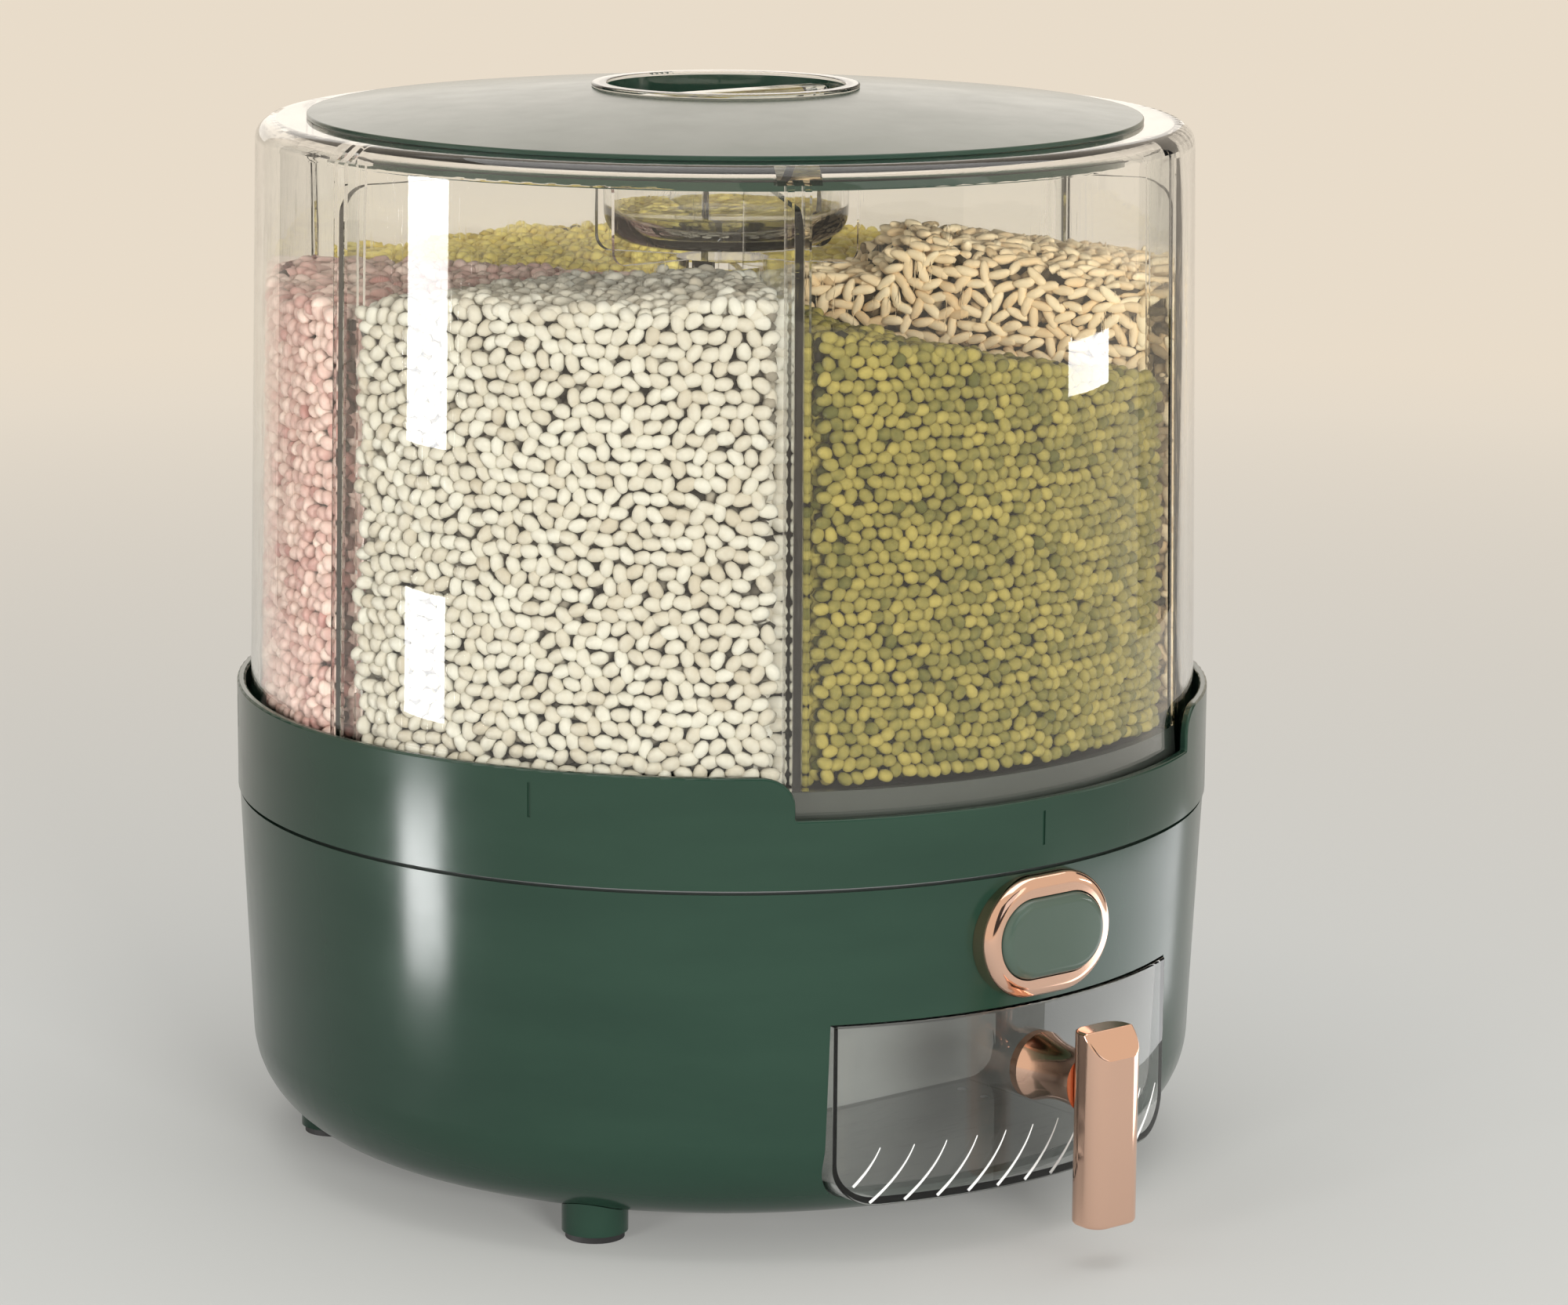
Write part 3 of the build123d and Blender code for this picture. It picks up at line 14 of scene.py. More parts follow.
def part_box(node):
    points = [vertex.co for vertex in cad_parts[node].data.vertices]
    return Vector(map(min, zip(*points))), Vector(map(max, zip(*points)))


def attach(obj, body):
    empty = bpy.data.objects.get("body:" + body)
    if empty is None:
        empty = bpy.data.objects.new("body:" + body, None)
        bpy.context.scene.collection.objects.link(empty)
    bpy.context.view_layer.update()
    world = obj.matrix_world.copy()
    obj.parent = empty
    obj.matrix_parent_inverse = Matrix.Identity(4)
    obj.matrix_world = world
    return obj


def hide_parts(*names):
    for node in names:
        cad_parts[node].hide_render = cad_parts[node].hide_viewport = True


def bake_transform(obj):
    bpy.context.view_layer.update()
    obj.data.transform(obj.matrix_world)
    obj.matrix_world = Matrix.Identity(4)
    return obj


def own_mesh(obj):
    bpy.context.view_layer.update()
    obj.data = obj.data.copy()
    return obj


bl_info = {
    "name": "Rotating Grain Dispenser",
    "version": (1, 0, 0),
    "blender": (4, 5, 0),
    "location": "View3D > Sidebar > Dispenser",
    "description": "Dresses a rotating grain dispenser with finishes, springs, grain and a studio",
    "category": "Object",
}

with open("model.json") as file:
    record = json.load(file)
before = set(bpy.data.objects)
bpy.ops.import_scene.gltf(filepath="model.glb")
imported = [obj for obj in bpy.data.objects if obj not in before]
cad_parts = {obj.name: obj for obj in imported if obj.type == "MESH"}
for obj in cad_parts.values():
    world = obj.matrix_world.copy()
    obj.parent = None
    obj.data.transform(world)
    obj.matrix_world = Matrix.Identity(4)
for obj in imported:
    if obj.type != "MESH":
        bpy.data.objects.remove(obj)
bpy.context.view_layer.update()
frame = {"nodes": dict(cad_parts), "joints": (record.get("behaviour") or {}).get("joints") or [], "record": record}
SLOT_OF = {part["node"]: part["material_slot"] for part in frame["record"]["subparts"]}

# Sizes of the drum that the grain has to keep to, in metres
DRUM_FOOT, DRUM_TOP = 0.1136, 0.2975
WALL_FOOT, WALL_TOP = 0.1343, 0.1307
FLOOR_RIM = 0.1313
BLADE_HALF = 0.0011
RIB_REACH, RIB_DEPTH = 0.0034, 0.0062
WEDGE_HALF = math.radians(30)

# Height that the fills keep to under the lid's well, and the radii between which they leave it
WELL_CLEAR = 0.254
WELL_NEAR, WELL_FAR = 0.042, 0.056

# Radii where the grains and the core behind them start, and the core's depth in half grains
GRAIN_START, CORE_START = 0.024, 0.036
CORE_IN, CORE_DOWN = 4, 1.5

# Each fill: name, angle of its compartment in degrees, grain size in millimetres, bend, height at its
# two blades and crown in millimetres, fall towards the wall, palest and darkest colour
Fill = namedtuple("Fill", "name angle size bend heights crown fall pale deep")
YELLOW = (1.0, 0.83, 0.26), (0.84, 0.62, 0.12)
GREEN = (0.35, 0.285, 0.07), (0.085, 0.085, 0.015)
CREAM = (0.61, 0.59, 0.50), (0.47, 0.42, 0.32)
RED = (0.80, 0.62, 0.53), (0.48, 0.22, 0.19)
OAT = (0.98, 0.80, 0.52), (0.80, 0.56, 0.30)
FILLS = (
    Fill("front", 0, (4.6, 3.65, 3.55), 0.06, (255, 231), 0, 0.0, *GREEN),
    Fill("front_left", -60, (5.7, 4.2, 3.8), 0.18, (256, 262), 1, 0.0, *CREAM),
    Fill("rear_left", -120, (5.5, 4.1, 4.0), 0.10, (252, 252), 1, 0.0, *RED),
    Fill("rear", 180, (4.8, 4.25, 3.95), 0.04, (251, 249), 2, 0.0, *YELLOW),
    Fill("rear_right", 120, (4.8, 4.25, 3.95), 0.04, (250, 250), 2, 0.0, *YELLOW),
    Fill("front_right", 60, (7.4, 3.1, 2.8), 0.34, (259, 256), 6, 0.14, *OAT),
)
MILLI = 0.001

# Radius where a falling fill has its stated height, and how much further in its highest grains lie
FALL_MIDDLE, FALL_REACH = 0.08, 0.05

# Height of the ripples on a fill, and depth of the grains on a blade below the fill beyond it
RIPPLE, FACE_DEPTH = 0.0012, 0.028

# Scatter of the grains, in pitches, and how often and how far they are pushed apart
HEX_ROW, RIB_ROW = math.sqrt(3) / 2, 0.8
JITTER, PUSHES, PUSH = 0.2, 5, 0.3

# Bluntness of a grain's ends, and its taper
BLUNT, TAPER = 0.9, 0.12

# Spread of a grain's turn along its surface and of its lean out of it, in radians
WALL_TURN, TOP_TURN, FACE_TURN, RIB_TURN = (0.8, 0.22), (0.6, 0.3), (0.7, 0.2), (1.1, 0.2)

# Tones run from 0 for the palest to 1 for the darkest grain, at random; above that they are painted shade deep in
# the fill, which darkens the second layer of grains and the core towards black
OUTER_TONE, INNER_SHADE_TONE, TONE_SPREAD = 0.42, 1.7, 0.24
DARKEST, SHADE_START, CORE_SHADE_TONE = 1.0, 1.2, 2.0

# Depth of the surface relief, in metres
MOULD_RELIEF, HAIRLINE_RELIEF, WRINKLE_RELIEF = 0.00005, 0.00002, 0.0002

# Steps in a turn and a leg of the springs, pitch of a closed turn in wire radii, and steps in a ridge
COIL_STEPS, LEG_STEPS = 48, 6
CLOSED_PITCH = 2.2
RIDGE_STEPS = 16

# The camera that was fitted to the photograph, in metres and radians
CAMERA_PLACE = (-0.9252, -1.1631, 0.4462)
CAMERA_LEVEL = (0.6318912, 0.77513, 0)
CAMERA_PITCH, CAMERA_ROLL = 0.202, 0.008
SENSOR = 36


def colour_prop(name, description, default):
    """A colour that the user can change."""
    return bpy.props.FloatVectorProperty(
        name=name, description=description, default=default, subtype="COLOR", size=3, min=0, max=1
    )


def number_prop(name, description, default, **kind):
    """A number that the user can change."""
    return bpy.props.FloatProperty(name=name, description=description, default=default, **kind)


def length_prop(*words):
    """A length in metres."""
    return number_prop(*words, unit="LENGTH", min=0, precision=5)


def factor_prop(*words):
    """A share from nothing to all."""
    return number_prop(*words, subtype="FACTOR", min=0, max=1)


def power_prop(*words):
    """A lamp's power in watts."""
    return number_prop(*words, unit="POWER")


class FinishSettings(bpy.types.PropertyGroup):
    """Colours and gloss of the moulded, clear, plated and steel parts."""

    green: colour_prop("Green", "Colour of the moulded shells", (0.015, 0.040, 0.026))
    green_deep: colour_prop("Deep green", "Darker streaks in the shells", (0.012, 0.034, 0.022))
    green_gloss: factor_prop("Green roughness", "Roughness of the moulded shells", 0.19)
    lid_gloss: factor_prop("Lid roughness", "Roughness of the lid", 0.20)
    cap: colour_prop("Cap", "Colour of the button's cap", (0.052, 0.078, 0.060))
    clear: colour_prop("Clear", "Tint of the clear drum, divider, cup and well", (0.985, 0.99, 0.985))
    # Pale colour painted on the drawer's ridges as their glints; the real ridges are clear
    ridge: colour_prop("Ridge", "Colour of the drawer's frosted ridges", (0.80, 0.80, 0.78))
    grip: colour_prop("Grip", "Tint of the grip bar", (0.86, 0.90, 0.88))
    rose: colour_prop("Rose gold", "Colour of the plating", (0.86, 0.56, 0.43))
    rose_gloss: factor_prop("Plating roughness", "Roughness of the plating", 0.09)
    grey: colour_prop("Grey", "Colour of the inner mouldings", (0.20, 0.205, 0.20))
    bay: colour_prop("Bay", "Colour of the bay that the drawer slides in", (0.29, 0.295, 0.28))
    drum_floor: colour_prop("Drum floor", "Colour of the drum's floor", (0.050, 0.056, 0.048))
    white: colour_prop("White", "Colour of the sliding mouldings", (0.72, 0.72, 0.69))
    rubber: colour_prop("Rubber", "Colour of seals and pads", (0.020, 0.020, 0.020))
    steel: colour_prop("Steel", "Colour of springs, screws and balls", (0.55, 0.55, 0.56))


class RidgeSettings(bpy.types.PropertyGroup):
    """The slanted ridges on the drawer's lower front."""

    pitch: length_prop("Pitch", "Distance between the ridges", 0.0095)
    radius: length_prop("Radius", "Radius of a ridge at its foot, half of it sunk in", 0.00045)
    foot: length_prop("Foot", "Height where the ridges start", 0.0172)
    top: length_prop("Top", "Height where the ridges end", 0.0325)
    margin: length_prop("Margin", "Room between the ridges and the drawer's sides", 0.0045)
    tip: factor_prop("Tip", "Radius of a ridge at its top, as a share of that at its foot", 0.35)
    foot_lean: number_prop("Foot lean", "Sideways run of a ridge for its rise, at its foot", 1.2)
    top_lean: number_prop("Top lean", "Sideways run of a ridge for its rise, at its top", 0.4)


class SpringSettings(bpy.types.PropertyGroup):
    """Windings of the button's and the gate's springs."""

    button_coil: length_prop("Button coil", "Radius of the button spring's winding", 0.0055)
    button_wire: length_prop("Button wire", "Radius of the button spring's wire", 0.0007)
    button_turns: bpy.props.IntProperty(
        name="Button turns", description="Open turns of the button spring", default=5, min=2
    )
    gate_coil: length_prop("Gate coil", "Radius of the gate spring's winding", 0.0036)
    gate_wire: length_prop("Gate wire", "Radius of the gate spring's wire", 0.0005)
    gate_pitch: length_prop("Gate pitch", "Advance of the gate spring in a turn", 0.0015)
    gate_leg: length_prop("Gate leg", "Length of the gate spring's legs", 0.0055)
    gate_turns: number_prop("Gate turns", "Turns of the gate spring", 4.5, min=1)


class GrainSettings(bpy.types.PropertyGroup):
    """The six fills of grain."""

    seed: bpy.props.IntProperty(name="Seed", description="Start of the random draws", default=11)
    crowding: factor_prop("Crowding", "Grain spacing as a share of the grain's mean width", 0.92)
    wall_gap: length_prop("Wall gap", "Air between a grain and the drum", 0.0003)
    sink: factor_prop("Sink", "How far grains lie behind each other, as a share of their width", 0.3)
    behind: factor_prop("Behind", "How far a second layer lies behind the first, in grain widths", 0.8)


for kind in FILLS:
    words = kind.name.replace("_", " ")
    for shade, word, colour in (("pale", "Palest", kind.pale), ("deep", "Darkest", kind.deep)):
        GrainSettings.__annotations__[f"{kind.name}_{shade}"] = colour_prop(
            f"{words} {shade}", f"{word} grains in the {words} compartment", colour
        )


class StageSettings(bpy.types.PropertyGroup):
    """Floor, lamps and camera."""

    floor: colour_prop("Floor", "Colour of the floor near the dispenser", (0.62, 0.617, 0.59))
    backdrop: colour_prop("Backdrop", "Colour of the room behind", (0.81, 0.715, 0.59))
    top_lamp: power_prop("Top lamp", "Power of the lamp overhead", 12)
    strip_lamp: power_prop("Strip lamp", "Power of a metre of the narrow side lamps", 6)
    back_lamp: power_prop("Back lamp", "Power of the lamp behind, for the lid", 2.5)
    front_lamp: power_prop("Front lamp", "Power of the soft lamp beside the camera", 3)
    low_lamp: power_prop("Low lamp", "Power of the low lamps that light the grain", 36)
    fill: factor_prop("Fill", "Strength of the room's light on the dispenser", 0.40)
    lens: number_prop("Lens", "Focal length of the camera", 119.889, unit="CAMERA")


class DispenserSettings(bpy.types.PropertyGroup):
    """All settings of the dispenser."""

    finish: bpy.props.PointerProperty(type=FinishSettings, name="Finish", description="Finishes")
    ridges: bpy.props.PointerProperty(type=RidgeSettings, name="Ridges", description="Drawer ridges")
    springs: bpy.props.PointerProperty(type=SpringSettings, name="Springs", description="Springs")
    grain: bpy.props.PointerProperty(type=GrainSettings, name="Grain", description="Grain")
    stage: bpy.props.PointerProperty(type=StageSettings, name="Stage", description="Studio")


def rgba(colour):
    """A colour with full alpha."""
    return (*colour, 1.0)


def feed(tree, socket, value):
    """Links a value to a socket, or sets it there."""
    if isinstance(value, bpy.types.NodeSocket):
        tree.links.new(value, socket)
    else:
        socket.default_value = value


def add_node(tree, kind, sockets=None, **settings):
    """A node with its settings, and its sockets set or linked."""
    node = tree.nodes.new(kind)
    for name, value in settings.items():
        setattr(node, name, value)
    for name, value in (sockets or {}).items():
        feed(tree, node.inputs[name], value)
    return node


def new_group(name, inputs, outputs):
    """An empty shader node group with its sockets, and its two end nodes."""
    tree = bpy.data.node_groups.new(name, "ShaderNodeTree")
    for word, default in inputs.items():
        kind = "NodeSocketColor" if isinstance(default, tuple) else "NodeSocketFloat"
        tree.interface.new_socket(word, in_out="INPUT", socket_type=kind).default_value = default
    for word in outputs:
        kind = "NodeSocketColor" if word == "Color" else "NodeSocketFloat"
        tree.interface.new_socket(word, in_out="OUTPUT", socket_type=kind)
    return tree, tree.nodes.new("NodeGroupInput").outputs, tree.nodes.new("NodeGroupOutput").inputs


def noise(tree, coordinates, scale, detail=2.0, roughness=0.5):
    """The value of a noise texture."""
    sockets = {"Vector": coordinates, "Scale": scale, "Detail": detail, "Roughness": roughness}
    return add_node(tree, "ShaderNodeTexNoise", sockets).outputs["Fac"]


def spread(tree, value, low, high, to_low=0.0, to_high=1.0):
    """A value stretched from one range to another, and clamped."""
    sockets = {"Value": value, "From Min": low, "From Max": high, "To Min": to_low, "To Max": to_high}
    return add_node(tree, "ShaderNodeMapRange", sockets).outputs["Result"]


def maths(tree, operation, first, second):
    """Two values put together."""
    node = tree.nodes.new("ShaderNodeMath")
    node.operation = operation
    for socket, value in zip(node.inputs, (first, second)):
        feed(tree, socket, value)
    return node.outputs[0]


def mix_colour(tree, factor, first, second):
    """Two colours mixed by a factor."""
    node = tree.nodes.new("ShaderNodeMix")
    node.data_type = "RGBA"
    for name, value in (("Factor_Float", factor), ("A_Color", first), ("B_Color", second)):
        feed(tree, next(s for s in node.inputs if s.identifier == name), value)
    return next(s for s in node.outputs if s.identifier == "Result_Color")


def mix_shaders(tree, factor, first, second, output):
    """Two shaders mixed by a factor, on their way to the output."""
    both = tree.nodes.new("ShaderNodeMixShader")
    for socket, value in zip(both.inputs, (factor, first, second)):
        tree.links.new(value, socket)
    tree.links.new(both.outputs["Shader"], output.inputs["Surface"])


def moulded_skin():
    """Injection-moulded surface: faint flow streaks, uneven gloss and a fine spark-eroded texture."""
    name = "Moulded Skin"
    if name in bpy.data.node_groups:
        return bpy.data.node_groups[name]
    tree, given, made = new_group(
        name,
        {
            "Main": (0.5, 0.5, 0.5, 1),
            "Streak": (0.4, 0.4, 0.4, 1),
            "Roughness": 0.3,
            "Unevenness": 0.06,
            "Texture Scale": 2600.0,
        },
        ("Color", "Roughness", "Height"),
    )
    place = add_node(tree, "ShaderNodeTexCoord").outputs["Object"]
    drawn = add_node(tree, "ShaderNodeMapping", {"Vector": place, "Scale": (14, 14, 55)})
    streaks = spread(tree, noise(tree, drawn.outputs["Vector"], 1.0, 4.0), 0.34, 0.68)
    tree.links.new(mix_colour(tree, streaks, given["Main"], given["Streak"]), made["Color"])
    cloud = spread(tree, noise(tree, place, 46.0, 5.0, 0.62), 0.25, 0.75, -1.0, 1.0)
    uneven = maths(tree, "MULTIPLY", cloud, given["Unevenness"])
    tree.links.new(maths(tree, "ADD", uneven, given["Roughness"]), made["Roughness"])
    tree.links.new(noise(tree, place, given["Texture Scale"], 2.0), made["Height"])
    return tree


def handling_marks():
    """Polished surface in use: soft finger smudges and hairline marks."""
    name = "Handling Marks"
    if name in bpy.data.node_groups:
        return bpy.data.node_groups[name]
    tree, given, made = new_group(
        name, {"Roughness": 0.05, "Smudge": 0.04, "Hairlines": 0.5}, ("Roughness", "Height")
    )
    place = add_node(tree, "ShaderNodeTexCoord").outputs["Object"]
    smudge = spread(tree, noise(tree, place, 38.0, 5.0, 0.6), 0.52, 0.74)
    smudge = maths(tree, "MULTIPLY", smudge, given["Smudge"])
    tree.links.new(maths(tree, "ADD", smudge, given["Roughness"]), made["Roughness"])
    sockets = {"Vector": place, "Rotation": (0.5, 0.9, 0.3), "Scale": (60, 2400, 60)}
    turned = add_node(tree, "ShaderNodeMapping", sockets)
    lines = spread(tree, noise(tree, turned.outputs["Vector"], 1.0, 2.0), 0.66, 0.72)
    tree.links.new(maths(tree, "MULTIPLY", lines, given["Hairlines"]), made["Height"])
    return tree


def seed_coat():
    """Skin of a grain: its own tone, blotches over it and fine wrinkles, and painted shade towards black for tones
    past the darkest grain.
    """
    name = "Seed Coat"
    if name in bpy.data.node_groups:
        return bpy.data.node_groups[name]
    tree, given, made = new_group(
        name,
        {"Pale": (0.8, 0.7, 0.5, 1), "Deep": (0.4, 0.3, 0.2, 1), "Blotch": 0.35},
        ("Color", "Roughness", "Height"),
    )
    place = add_node(tree, "ShaderNodeTexCoord").outputs["Object"]
    tone = add_node(tree, "ShaderNodeAttribute", attribute_name="seed_tone").outputs["Fac"]
    blotch = spread(tree, noise(tree, place, 420.0, 3.0), 0.3, 0.7, -0.5, 0.5)
    shade = maths(tree, "ADD", tone, maths(tree, "MULTIPLY", blotch, given["Blotch"]))
    skin = mix_colour(tree, spread(tree, shade, 0, DARKEST), given["Pale"], given["Deep"])
    # Painted shade: tones past SHADE_START darken the grain towards black
    gap = spread(tree, tone, SHADE_START, CORE_SHADE_TONE, 0.0, 0.95)
    tree.links.new(mix_colour(tree, gap, skin, (0, 0, 0, 1)), made["Color"])
    tree.links.new(spread(tree, noise(tree, place, 650.0), 0.3, 0.7, 0.36, 0.56), made["Roughness"])
    tree.links.new(noise(tree, place, 1900.0, 3.0), made["Height"])
    return tree


def new_material(name):
    """An empty material: its tree, its Principled shader and its output."""
    material = bpy.data.materials.new(name)
    material.use_nodes = True
    tree = material.node_tree
    tree.nodes.clear()
    shader = tree.nodes.new("ShaderNodeBsdfPrincipled")
    output = tree.nodes.new("ShaderNodeOutputMaterial")
    tree.links.new(shader.outputs["BSDF"], output.inputs["Surface"])
    return material, tree, shader, output


def place_group(tree, group, sockets):
    """A node group in a material, with this material's own values."""
    node = tree.nodes.new("ShaderNodeGroup")
    node.node_tree = group
    for name, value in sockets.items():
        node.inputs[name].default_value = value
    return node.outputs


def dress(tree, shader, skin, depth, strength):
    """Gives a shader the colour, roughness and relief of a group, with the relief's depth in metres."""
    if "Color" in skin:
        tree.links.new(skin["Color"], shader.inputs["Base Color"])
    tree.links.new(skin["Roughness"], shader.inputs["Roughness"])
    relief = {"Height": skin["Height"], "Distance": depth, "Strength": strength}
    bump = add_node(tree, "ShaderNodeBump", relief)
    tree.links.new(bump.outputs["Normal"], shader.inputs["Normal"])


def moulded_material(name, main, streak, roughness, unevenness, texture):
    """Moulded plastic or rubber."""
    material, tree, shader, _ = new_material(name)
    own = {"Main": rgba(main), "Streak": rgba(streak), "Roughness": roughness, "Unevenness": unevenness}
    skin = place_group(tree, moulded_skin(), own)
    dress(tree, shader, skin, MOULD_RELIEF, texture)
    return material


def metal_material(name, colour, roughness, smudge, hairlines):
    """Plating or bare steel."""
    material, tree, shader, _ = new_material(name)
    shader.inputs["Base Color"].default_value = rgba(colour)
    shader.inputs["Metallic"].default_value = 1.0
    own = {"Roughness": roughness, "Smudge": smudge, "Hairlines": hairlines}
    marks = place_group(tree, handling_marks(), own)
    dress(tree, shader, marks, HAIRLINE_RELIEF, 0.25)
    return material


def clear_material(name, tint, roughness):
    """Clear plastic that lets the lamps through."""
    material, tree, shader, output = new_material(name)
    shader.inputs["Base Color"].default_value = rgba(tint)
    shader.inputs["Transmission Weight"].default_value = 1.0
    shader.inputs["IOR"].default_value = 1.49
    own = {"Roughness": roughness, "Smudge": 0.03, "Hairlines": 0.4}
    marks = place_group(tree, handling_marks(), own)
    dress(tree, shader, marks, HAIRLINE_RELIEF, 0.6)
    lamp_ray = tree.nodes.new("ShaderNodeLightPath").outputs["Is Shadow Ray"]
    through = add_node(tree, "ShaderNodeBsdfTransparent", {"Color": rgba(tint)})
    mix_shaders(tree, lamp_ray, shader.outputs["BSDF"], through.outputs["BSDF"], output)
    return material


def finish_nodes(slot_name, material, only=None):
    """Gives a material to the solids of a slot."""
    found = [n for n, s in SLOT_OF.items() if s == slot_name and (only is None or n in only)]
    if not found:
        raise RuntimeError(f"no solid takes its finish from {slot_name}")
    for node in found:
        mesh = frame["nodes"][node].data
        mesh.materials.clear()
        mesh.materials.append(material)


def new_piece(name, mesh, body, material):
    """A mesh as a piece that rides on a body."""
    piece = bpy.data.objects.new(name, mesh)
    bpy.context.scene.collection.objects.link(piece)
    mesh.materials.append(material)
    if body:
        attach(piece, body)
    return piece


def wire_mesh(name, paths, radius, sides=14, tip=1.0):
    """Round wires along paths, closed at both ends, which thin to a share of their radius."""
    bm = bmesh.new()
    for path in paths:
        rings = []
        normal = None
        for i, point in enumerate(path):
            along = (path[min(i + 1, len(path) - 1)] - path[max(i - 1, 0)]).normalized()
            if normal is None:
                normal = along.orthogonal()
            normal = (normal - along * normal.dot(along)).normalized()
            side = along.cross(normal)
            thick = radius * (1 + (tip - 1) * i / (len(path) - 1))
            ring = []
            for k in range(sides):
                turn = 2 * math.pi * k / sides
                off = math.cos(turn) * normal + math.sin(turn) * side
                ring.append(bm.verts.new(point + thick * off))
            rings.append(ring)
        for first, second in zip(rings, rings[1:]):
            for k in range(sides):
                after = (k + 1) % sides
                bm.faces.new((first[k], first[after], second[after], second[k]))
        bm.faces.new(reversed(rings[0]))
        bm.faces.new(rings[-1])
    for face in bm.faces:
        face.smooth = len(face.verts) == 4
    bmesh.ops.recalc_face_normals(bm, faces=bm.faces)
    mesh = bpy.data.meshes.new(name)
    bm.to_mesh(mesh)
    bm.free()
    return mesh


def wall_radius(height):
    """Inner radius of the drafted drum at a height."""
    share = (height - DRUM_FOOT) / (DRUM_TOP - DRUM_FOOT)
    return WALL_FOOT + (WALL_TOP - WALL_FOOT) * share


def outward(angle):
    """Direction from the axis at an angle that starts at the front and turns to the right."""
    return np.stack([np.sin(angle), -np.cos(angle), np.zeros_like(angle)], axis=-1)


def sideways(angle):
    """Direction along the wall at an angle."""
    return np.stack([np.cos(angle), np.sin(angle), np.zeros_like(angle)], axis=-1)


def smooth_step(value, low, high):
    """A soft step from 0 to 1."""
    t = np.clip((value - low) / (high - low), 0, 1)
    return t * t * (3 - 2 * t)


def fill_top(fill, offset, radius):
    """Height of a fill's surface at an angle from the middle of its compartment, and a radius."""
    across = offset / WEDGE_HALF
    left, right = fill.heights
    edge = (left + (right - left) * (across + 1) / 2 + fill.crown * (1 - across**2)) * MILLI
    edge = edge - fill.fall * (radius - FALL_MIDDLE)
    ripple = RIPPLE * np.sin(9 * across + 60 * radius) * np.sin(95 * radius + 4 * across)
    centre = np.minimum(edge, WELL_CLEAR)
    return centre + (edge + ripple - centre) * smooth_step(radius, WELL_NEAR, WELL_FAR)


def scatter(low, high, pitch, draw):
    """Points in loose hexagonal rows over a rectangle, pushed apart where they crowd."""
    across = np.arange(low[0], high[0] + pitch, pitch)
    rows = np.arange(low[1], high[1] + pitch, pitch * HEX_ROW)
    grid = np.array([(x + pitch / 2 * (i % 2), y) for i, y in enumerate(rows) for x in across])
    grid = grid + draw.normal(0, JITTER * pitch, grid.shape)
    for _ in range(PUSHES):
        apart = grid[:, None] - grid[None]
        gap = np.linalg.norm(apart, axis=2)
        np.fill_diagonal(gap, pitch)
        push = np.clip(pitch - gap, 0, None) * PUSH / gap
        grid = grid + (apart * push[..., None]).sum(1)
    return grid


def grain_turns(normal, across, draw, level, tilt):
    """Turn of each grain: its long axis lies near the surface, more often level than upright."""
    count = len(normal)
    up = np.cross(normal, across)
    angle = draw.normal(0, level, count)
    lean = draw.normal(0, tilt, count)
    along = np.cos(angle)[:, None] * across + np.sin(angle)[:, None] * up
    along = np.cos(lean)[:, None] * along + np.sin(lean)[:, None] * normal
    roll = draw.uniform(0, 2 * math.pi, count)
    side = np.cross(normal, along)
    side /= np.linalg.norm(side, axis=1)[:, None]
    other = np.cross(along, side)
    rolled = np.cos(roll)[:, None] * side + np.sin(roll)[:, None] * other
    return np.stack([along, rolled, np.cross(along, rolled)], axis=2)


def reach(turns, half, direction):
    """Half the extent of turned grains along a direction."""
    return np.sqrt(((np.einsum("nij,ni->nj", turns, direction) * half) ** 2).sum(1))


def grain_blank(half, bend, detail):
    """Points and faces of one grain at the origin, long axis along X."""
    bm = bmesh.new()
    bmesh.ops.create_icosphere(bm, subdivisions=detail, radius=1)
    points = np.array([v.co[:] for v in bm.verts])
    faces = np.array([[v.index for v in f.verts] for f in bm.faces])
    bm.free()
    x, y = points[:, 0].copy(), points[:, 1].copy()
    points[:, 0] = np.sign(x) * np.abs(x) ** BLUNT
    points[:, 1] = y * (1 + TAPER * x) + bend * (0.5 - x**2)
    return points * half, faces


def inside_wedge(points, offset, radius, turns, half, middle, gap):
    """Which grains clear the blades, the ribs and the wall of their compartment."""
    room = wall_radius(points[:, 2]) - reach(turns, half, outward(middle + offset)) - radius
    keep = room > gap * 0.5
    for side in (-1, 1):
        blade = np.full(len(points), middle + side * WEDGE_HALF)
        from_blade = radius * np.sin(WEDGE_HALF - side * offset) - reach(turns, half, sideways(blade))
        keep &= from_blade > np.where(room < RIB_DEPTH, RIB_REACH, BLADE_HALF) + gap
    return keep


def place_in(points, middle):
    """Angle from the middle of a compartment, and radius, of points."""
    angle = np.arctan2(points[:, 0], -points[:, 1])
    offset = (angle - middle + math.pi) % (2 * math.pi) - math.pi
    return offset, np.hypot(points[:, 0], points[:, 1])


